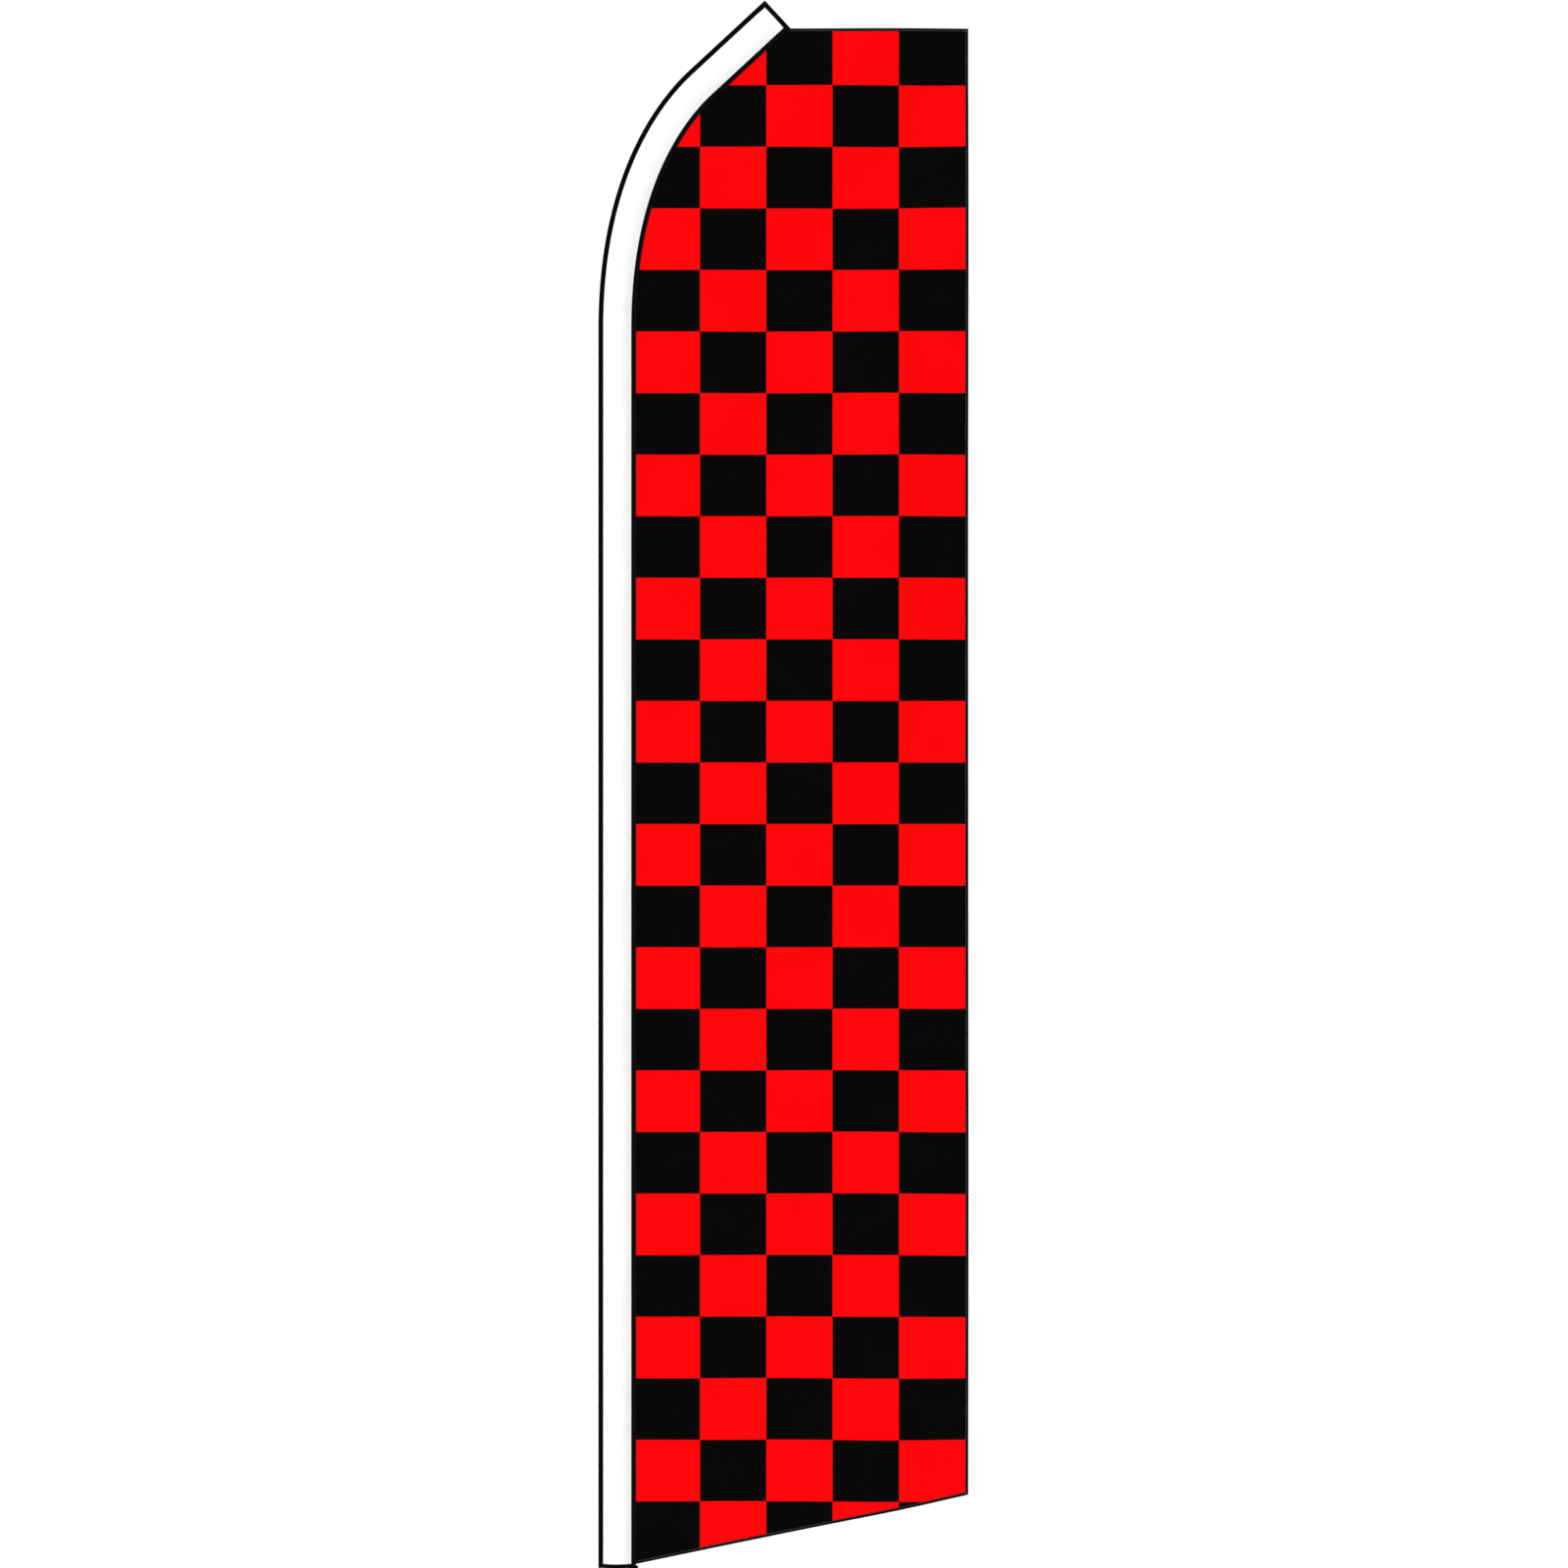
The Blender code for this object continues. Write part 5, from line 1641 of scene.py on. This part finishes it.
# ================================================================ spindle and spike
def build_spindle():
    """The barrel that turns on the spike, its grip rings, washer and bearings."""
    body = "spindle"
    base, top = low("spindle_barrel").z, high("spindle_barrel").z
    flange, barrel = high("spindle_barrel").x, high("base_tube").x - TUBE_WALL - PLAY
    seat = high("lower_bearing_outer").x + PLAY
    bore = high("lower_bearing_inner").x + 2 * PLAY
    depth = BEARING_RECESS + BEARING_HEIGHT + PLAY
    flange_top = base + 0.007
    outside = [(flange, base), (flange, flange_top), (barrel, flange_top)]
    groove_floor, groove_gap = barrel - 0.0015, 0.0004
    for node in ("lower_grip_ring", "upper_grip_ring"):
        start, end = low(node).z - groove_gap, high(node).z + groove_gap
        outside += [(barrel, start), (groove_floor, start), (groove_floor, end), (barrel, end)]
    corners = [
        (seat, base),
        *outside,
        (barrel, top),
        (seat, top),
        (seat, top - depth),
        (bore, top - depth),
        (bore, base + depth),
        (seat, base + depth),
    ]
    part = make_turned("turning_barrel", eased(corners, 0.0004, 3), finish("plated"), body)
    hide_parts("spindle_barrel")
    for node in ("lower_grip_ring", "upper_grip_ring"):
        half = (high(node).z - low(node).z) / 2
        section = circle(half, high(node).x - half, middle_of(node).z, 16)
        ring = make_turned(node + "_rubber", section, finish("rubber"), body)
        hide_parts(node)
    node = "wear_washer"
    section = ring_section(barrel + PLAY, high(node).x, low(node).z, high(node).z)
    washer = make_turned("sliding_washer", section, finish("nylon"), body)
    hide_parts(node)
    build_bearings()


def build_bearings():
    """Two ball bearings and the bush under them."""
    ball_play, inner_wall, bush_wall, ease = 0.00015, 0.0017, 0.0016, 0.0003
    for end in ("lower", "upper"):
        inner_low, inner_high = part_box(f"{end}_bearing_inner")
        outer_low, outer_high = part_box(f"{end}_bearing_outer")
        ball_low, ball_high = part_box(f"{end}_ball_cage")
        middle = middle_of(f"{end}_bearing_inner").z
        ball = (ball_high.z - ball_low.z) / 2
        bore, lip = inner_high.x - inner_wall, BALL_CIRCLE + GROOVE_LIP
        groove = ball_groove(middle, ball + ball_play)
        inward = [(2 * BALL_CIRCLE - r, z) for r, z in groove]
        inner = [(bore, inner_low.z), (inner_high.x, inner_low.z), *inward]
        inner = eased([*inner, (inner_high.x, inner_high.z), (bore, inner_high.z)], ease, 3)
        bearing_part(f"{end}_inner_race", inner, f"{end}_bearing_inner", "ground_spike")
        outer = [(lip, outer_low.z), (outer_high.x, outer_low.z)]
        outer += [(outer_high.x, outer_high.z), (lip, outer_high.z), *groove[::-1]]
        outer = eased(outer, ease, 3)
        bearing_part(f"{end}_outer_race", outer, f"{end}_bearing_outer", "spindle")
        build_cage(end, middle, ball)
    node = "spacer_bush"
    bush_low, bush_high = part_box(node)
    section = ring_section(bush_high.x - bush_wall, bush_high.x, bush_low.z, bush_high.z, ease)
    bearing_part("spacer_sleeve", section, node, "ground_spike")


def bearing_part(name, section, node, body):
    part = make_turned(name, section, finish("ground_steel"), body)
    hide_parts(node)


def ball_groove(middle, radius):
    """Arc of the outer race's groove, from its lower lip to its upper one."""
    reach = math.acos(GROOVE_LIP / radius)
    return [(BALL_CIRCLE + r, middle + z) for r, z in arc(radius, -reach, reach, 9)]


def build_cage(end, middle, ball):
    """Eight balls, and the pressed ribbon that spaces them."""
    steel = [finish("ground_steel")]
    points, faces = [], []
    shape, sides = turned_mesh([(0, -ball), *arc(ball, -1.35, 1.35, 9), (0, ball)], 20)
    for x, y in circle(BALL_CIRCLE, steps=BALL_COUNT):
        first = len(points)
        points += (shape + (x, y, middle)).tolist()
        faces += [[i + first for i in face] for face in sides]
    balls = make_piece(f"{end}_balls", points, faces, steel, "ground_spike", sharp=60)
    steps, thick, narrow, wider = 96, 0.0003, 0.0005, 0.0006
    section = [(-thick, -1), (-thick * 0.6, -1.12), (thick * 0.6, -1.12), (thick, -1)]
    section += [(-r, -z) for r, z in section]
    r, z = np.array(section).T
    turn = np.linspace(0, math.tau, steps, endpoint=False)[:, None]
    half = narrow + wider * np.clip(np.cos(turn * BALL_COUNT), 0, 1) ** 0.6
    reach = BALL_CIRCLE + r
    rings = np.stack([reach * np.cos(turn), reach * np.sin(turn), middle + z * half], axis=-1)
    faces = grid_faces(steps + 1, len(section), wrap=True) % (steps * len(section))
    cage = make_piece(f"{end}_cage", rings.reshape(-1, 3), faces, steel, "ground_spike")
    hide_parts(f"{end}_ball_cage")


def build_spike():
    """Pointed bar with its axle, step plate, fins, welds, washer and nut."""
    body = "ground_spike"
    bar_low, bar_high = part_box("spike_bar")
    radius, tip = bar_high.x, bar_low.z
    thread_start, pitch = low("axle_nut").z - 0.003, 0.0010
    corners = [
        (0, tip),
        (0.0011, tip + 0.0009),
        (radius * 0.55, tip + 0.036),
        (radius, tip + 0.070),
        (radius, -PLAY),
        (AXLE_RADIUS, -PLAY),
        *[(AXLE_RADIUS, z) for z in (0.06, 0.12, 0.18)],
        (AXLE_RADIUS, thread_start - pitch),
        *thread_profile(AXLE_RADIUS, thread_start, bar_high.z - 0.0012, pitch),
        (AXLE_RADIUS - 0.001, bar_high.z),
        (0, bar_high.z),
    ]
    bar = make_turned("pointed_bar", corners, finish("spike"), body)
    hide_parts("spike_bar")
    build_step_plate(body)
    build_fins(body, radius)
    washer_low, washer_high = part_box("axle_washer")
    bore = AXLE_RADIUS + PLAY
    section = ring_section(bore, washer_high.x, washer_low.z, washer_high.z, 0.0002)
    washer = make_turned("axle_plain_washer", section, finish("plated"), body)
    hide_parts("axle_washer")
    nut_low, nut_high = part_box("axle_nut")
    flats, thick = nut_high.x - nut_low.x, nut_high.z - nut_low.z
    place = Matrix.Translation((0, 0, middle_of("axle_nut").z))
    make_nut("axle_hex_nut", "axle_nut", flats, bore, thick, place, body)


def build_step_plate(body):
    """Plate with round corners, a hole for the axle and slots that give the foot grip."""
    a, b = high("step_plate").x, high("step_plate").y
    corner, thick, bevel = 0.012, 0.005, 0.0008
    outline = []
    for k, (sx, sy) in enumerate(((1, 1), (-1, 1), (-1, -1), (1, -1))):
        x, y = sx * (a - corner), sy * (b - corner)
        outline += circle(corner, x, y, 10, 90 * k, 90 * k + 90)
    first_slot, slot_pitch, slot_half, slot_length = 0.026, 0.010, 0.0016, 0.020
    outlines = [outline, circle(AXLE_RADIUS + PLAY, steps=48)]
    for side in (-1, 1):
        for k in range(3):
            x = side * (first_slot + slot_pitch * k)
            outlines.append(slot_hole(x, 0.0, slot_half, slot_length))
    middle = Matrix.Translation((0, 0, middle_of("step_plate").z))
    step = make_plate("foot_plate", outlines, thick, bevel, middle, finish("spike"), body)
    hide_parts("step_plate")


def slot_hole(x, y, half_width, length):
    """Outline of a slot with round ends, along Y."""
    reach = length / 2 - half_width
    upper = circle(half_width, x, y + reach, 12, 0, 180)
    return upper + circle(half_width, x, y - reach, 12, 180, 360)


def build_fins(body, radius):
    """The two gussets, and the beads that weld them to the bar and the plate."""
    rows = []
    for node, side in (("fin_right", 1), ("fin_left", -1)):
        fin_low, fin_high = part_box(node)
        inner = radius + PLAY
        reach = fin_high.x - fin_low.x
        top, bottom = fin_high.z, fin_low.z
        outline = [
            (inner, top),
            (inner, bottom),
            (inner + reach / 4, bottom),
            (inner + reach, (bottom + top) / 3),
            (inner + reach, top),
        ]
        outline = [(side * px, pz) for px, pz in eased(outline, 0.003, 5)]
        thick, bevel, place = fin_high.y - fin_low.y, 0.0005, facing_front(0, 0)
        fin = make_plate(node + "_plate", [outline], thick, bevel, place, finish("spike"), body)
        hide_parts(node)
        for y in (-1, 1):
            x_seam, y_seam = side * radius * 0.96, y * 0.0030
            foot, head = (x_seam, y_seam, bottom + 0.004), (x_seam, y_seam, top - 0.002)
            rows.append(np.linspace(foot, head, 60))
            start, end = side * (inner + 0.002), side * (inner + reach - 0.004)
            y_seam, z_seam = y * 0.0026, -0.0008
            rows.append(np.linspace((start, y_seam, z_seam), (end, y_seam, z_seam), 30))
    bead = 0.0016
    for k, line in enumerate(rows):
        weld = make_weld(f"weld_{k + 1}", line, bead, body)


def make_weld(name, line, radius, body):
    """A bead laid along a line, scalloped as the puddle froze."""
    count, scallop, scallop_depth = len(line), 0.0034, 0.13
    along = np.linspace(0, 1, count)
    length = float(np.linalg.norm(line[-1] - line[0]))
    ends = np.minimum(1.0, np.minimum(along, 1 - along) * count / 4 + 0.25)
    wave = np.sin(math.tau * along * length / scallop)
    swell = radius * ends * (1 + scallop_depth * wave)
    run = Vector(line[-1] - line[0]).normalized()
    side = np.array(run.cross(Vector((0, 1, 0))))
    turn = np.linspace(0, math.tau, 12, endpoint=False)
    offsets = np.cos(turn)[:, None] * side + np.sin(turn)[:, None] * np.array([0.0, 1.0, 0.0])
    rings = line[:, None, :] + offsets[None, :, :] * swell[:, None, None]
    return make_loft(name, rings, [finish("weld")], body)


# ================================================================ stage
def build_camera():
    """Camera square to the flag, level with the middle of its view."""
    s = stage()
    camera = bpy.data.objects.new("flag_camera", bpy.data.cameras.new("flag_camera"))
    bpy.context.scene.collection.objects.link(camera)
    camera.data.lens = s.lens
    camera.data.sensor_width = 36.0
    distance = s.view_height * s.lens / camera.data.sensor_width
    camera.location = (s.view_centre, -distance, MOUTH_Z + s.view_height / 2)
    camera.rotation_euler = (math.radians(90), 0, 0)
    camera.data.clip_start = 0.1
    camera.data.clip_end = 200.0
    bpy.context.scene.camera = camera


def build_stage():
    """Pale floor at the spike's point, an even white surround and one soft key light."""
    s = stage()
    floor_z, thick = low("spike_bar").z - 0.0005, 0.02
    rim = [(s.floor_radius, -thick), (s.floor_radius, 0)]
    points, faces = turned_mesh([(0, -thick), *rim, (0, 0)], 96)
    mesh = bpy.data.meshes.new("floor")
    mesh.from_pydata((points + (0, 0, floor_z)).tolist(), [], faces)
    paint = Finish("floor_paint", (0.86,) * 3, 0.7, Specular_IOR_Level=0.2)
    grain = paint.noise(paint.solid_space(), 60.0, 4.0)
    paint.colour(paint.patches(grain, *MIDDLE_OF_NOISE, (0.84,) * 3, (0.88,) * 3))
    mesh.materials.append(paint.material)
    floor = bpy.data.objects.new("floor", mesh)
    bpy.context.scene.collection.objects.link(floor)
    world = bpy.data.worlds.new("white_surround")
    world.use_nodes = True
    light_tent(world.node_tree, s.sky)
    bpy.context.scene.world = world
    for name, degrees, share, softness in (KEY_LIGHT, BACK_LIGHT):
        add_sun(name, degrees, s.sun * share, softness)
    bpy.context.scene.view_settings.view_transform = "Standard"
    bpy.context.scene.view_settings.look = "None"


def light_tent(tree, strength):
    """White behind the object; its light comes from the roof and from tall panels."""
    background = tree.nodes["Background"]
    background.inputs["Strength"].default_value = strength

    def step(operation, *values):
        node = tree.nodes.new("ShaderNodeMath")
        node.operation = operation
        for socket, value in zip(node.inputs, values):
            if isinstance(value, (int, float)):
                socket.default_value = value
            else:
                tree.links.new(value, socket)
        return node.outputs[0]

    direction = tree.nodes.new("ShaderNodeTexCoord").outputs["Generated"]
    split = tree.nodes.new("ShaderNodeSeparateXYZ")
    tree.links.new(direction, split.inputs[0])
    facing = step("POWER", step("ABSOLUTE", split.outputs["Y"]), TENT_FALL)
    roof = step("MULTIPLY", step("MAXIMUM", split.outputs["Z"], 0.0), TENT_ROOF)
    walls = step("ADD", step("MULTIPLY", facing, TENT_PANELS), TENT_SIDES)
    level = step("ADD", walls, roof)
    seen = tree.nodes.new("ShaderNodeLightPath").outputs["Is Camera Ray"]
    shown = step("ADD", seen, step("MULTIPLY", level, step("SUBTRACT", 1.0, seen)))
    tone = tree.nodes.new("ShaderNodeCombineXYZ")
    for socket in tone.inputs:
        tree.links.new(shown, socket)
    tree.links.new(tone.outputs[0], background.inputs["Color"])


def add_sun(name, degrees, strength, softness):
    """One sun lamp; degrees are its turn about X, Y and Z."""
    light = bpy.data.lights.new(name, "SUN")
    light.energy = strength
    light.angle = math.radians(softness)
    lamp = bpy.data.objects.new(name, light)
    lamp.rotation_euler = [math.radians(d) for d in degrees]
    bpy.context.scene.collection.objects.link(lamp)


# ================================================================ operators
class FLAG_OT_camera(bpy.types.Operator):
    """Add the camera"""

    bl_idname = "feather_flag.camera"
    bl_label = "Camera"

    def execute(self, context):
        build_camera()
        return {"FINISHED"}


class FLAG_OT_cloth(bpy.types.Operator):
    """Add the printed cloth of the flag"""

    bl_idname = "feather_flag.cloth"
    bl_label = "Printed cloth"

    def execute(self, context):
        panel, x, z = build_cloth()
        build_hems()
        float(np.ptp(x))
        float(np.ptp(z))
        flat_area(x, z)
        return {"FINISHED"}


class FLAG_OT_sleeve(bpy.types.Operator):
    """Add the white pole sleeve and the tape round its mouth"""

    bl_idname = "feather_flag.sleeve"
    bl_label = "Pole sleeve"

    def execute(self, context):
        build_sleeve()
        return {"FINISHED"}


class FLAG_OT_bindings(bpy.types.Operator):
    """Add the tapes down the sleeve's edges and over its tip"""

    bl_idname = "feather_flag.bindings"
    bl_label = "Edge tapes"

    def execute(self, context):
        build_bindings()
        declare_sleeve()
        return {"FINISHED"}


class FLAG_OT_tie_down(bpy.types.Operator):
    """Add the tab, rivet, rubber strap and clamp that pull the flag down"""

    bl_idname = "feather_flag.tie_down"
    bl_label = "Tie-down"

    def execute(self, context):
        build_tie_down()
        return {"FINISHED"}


class FLAG_OT_pole(bpy.types.Operator):
    """Add the pole sections, their rings and the bending tip"""

    bl_idname = "feather_flag.pole"
    bl_label = "Pole"

    def execute(self, context):
        build_pole()
        return {"FINISHED"}


class FLAG_OT_spindle(bpy.types.Operator):
    """Add the turning barrel and its bearings"""

    bl_idname = "feather_flag.spindle"
    bl_label = "Spindle"

    def execute(self, context):
        build_spindle()
        return {"FINISHED"}


class FLAG_OT_spike(bpy.types.Operator):
    """Add the ground spike, its plate, fins and welds"""

    bl_idname = "feather_flag.spike"
    bl_label = "Ground spike"

    def execute(self, context):
        build_spike()
        return {"FINISHED"}


class FLAG_OT_stage(bpy.types.Operator):
    """Add the floor and the light"""

    bl_idname = "feather_flag.stage"
    bl_label = "Floor and light"

    def execute(self, context):
        build_stage()
        return {"FINISHED"}


OPERATORS = (
    FLAG_OT_camera,
    FLAG_OT_cloth,
    FLAG_OT_sleeve,
    FLAG_OT_bindings,
    FLAG_OT_tie_down,
    FLAG_OT_pole,
    FLAG_OT_spindle,
    FLAG_OT_spike,
    FLAG_OT_stage,
)


class FLAG_PT_sidebar(bpy.types.Panel):
    """Lists the steps and their settings"""

    bl_label = "Feather flag"
    bl_idname = "FLAG_PT_sidebar"
    bl_space_type = "VIEW_3D"
    bl_region_type = "UI"
    bl_category = "Feather flag"

    def draw(self, context):
        for group in (cloth(), hardware(), stage()):
            box = self.layout.box()
            for name in group.__annotations__:
                box.prop(group, name)
        for step in OPERATORS:
            self.layout.operator(step.bl_idname)


CLASSES = (FlagCloth, FlagHardware, FlagStage, *OPERATORS, FLAG_PT_sidebar)


def register():
    """Add the operators, settings and sidebar."""
    for each in CLASSES:
        bpy.utils.register_class(each)
    bpy.types.Scene.flag_cloth = bpy.props.PointerProperty(type=FlagCloth)
    bpy.types.Scene.flag_hardware = bpy.props.PointerProperty(type=FlagHardware)
    bpy.types.Scene.flag_stage = bpy.props.PointerProperty(type=FlagStage)


def unregister():
    """Take them away again."""
    del bpy.types.Scene.flag_stage
    del bpy.types.Scene.flag_hardware
    del bpy.types.Scene.flag_cloth
    for each in reversed(CLASSES):
        bpy.utils.unregister_class(each)


def main():
    """Build the whole flag."""
    register()
    for step in OPERATORS:
        group, name = step.bl_idname.split(".")
        getattr(getattr(bpy.ops, group), name)()


if __name__ == "__main__":
    main()
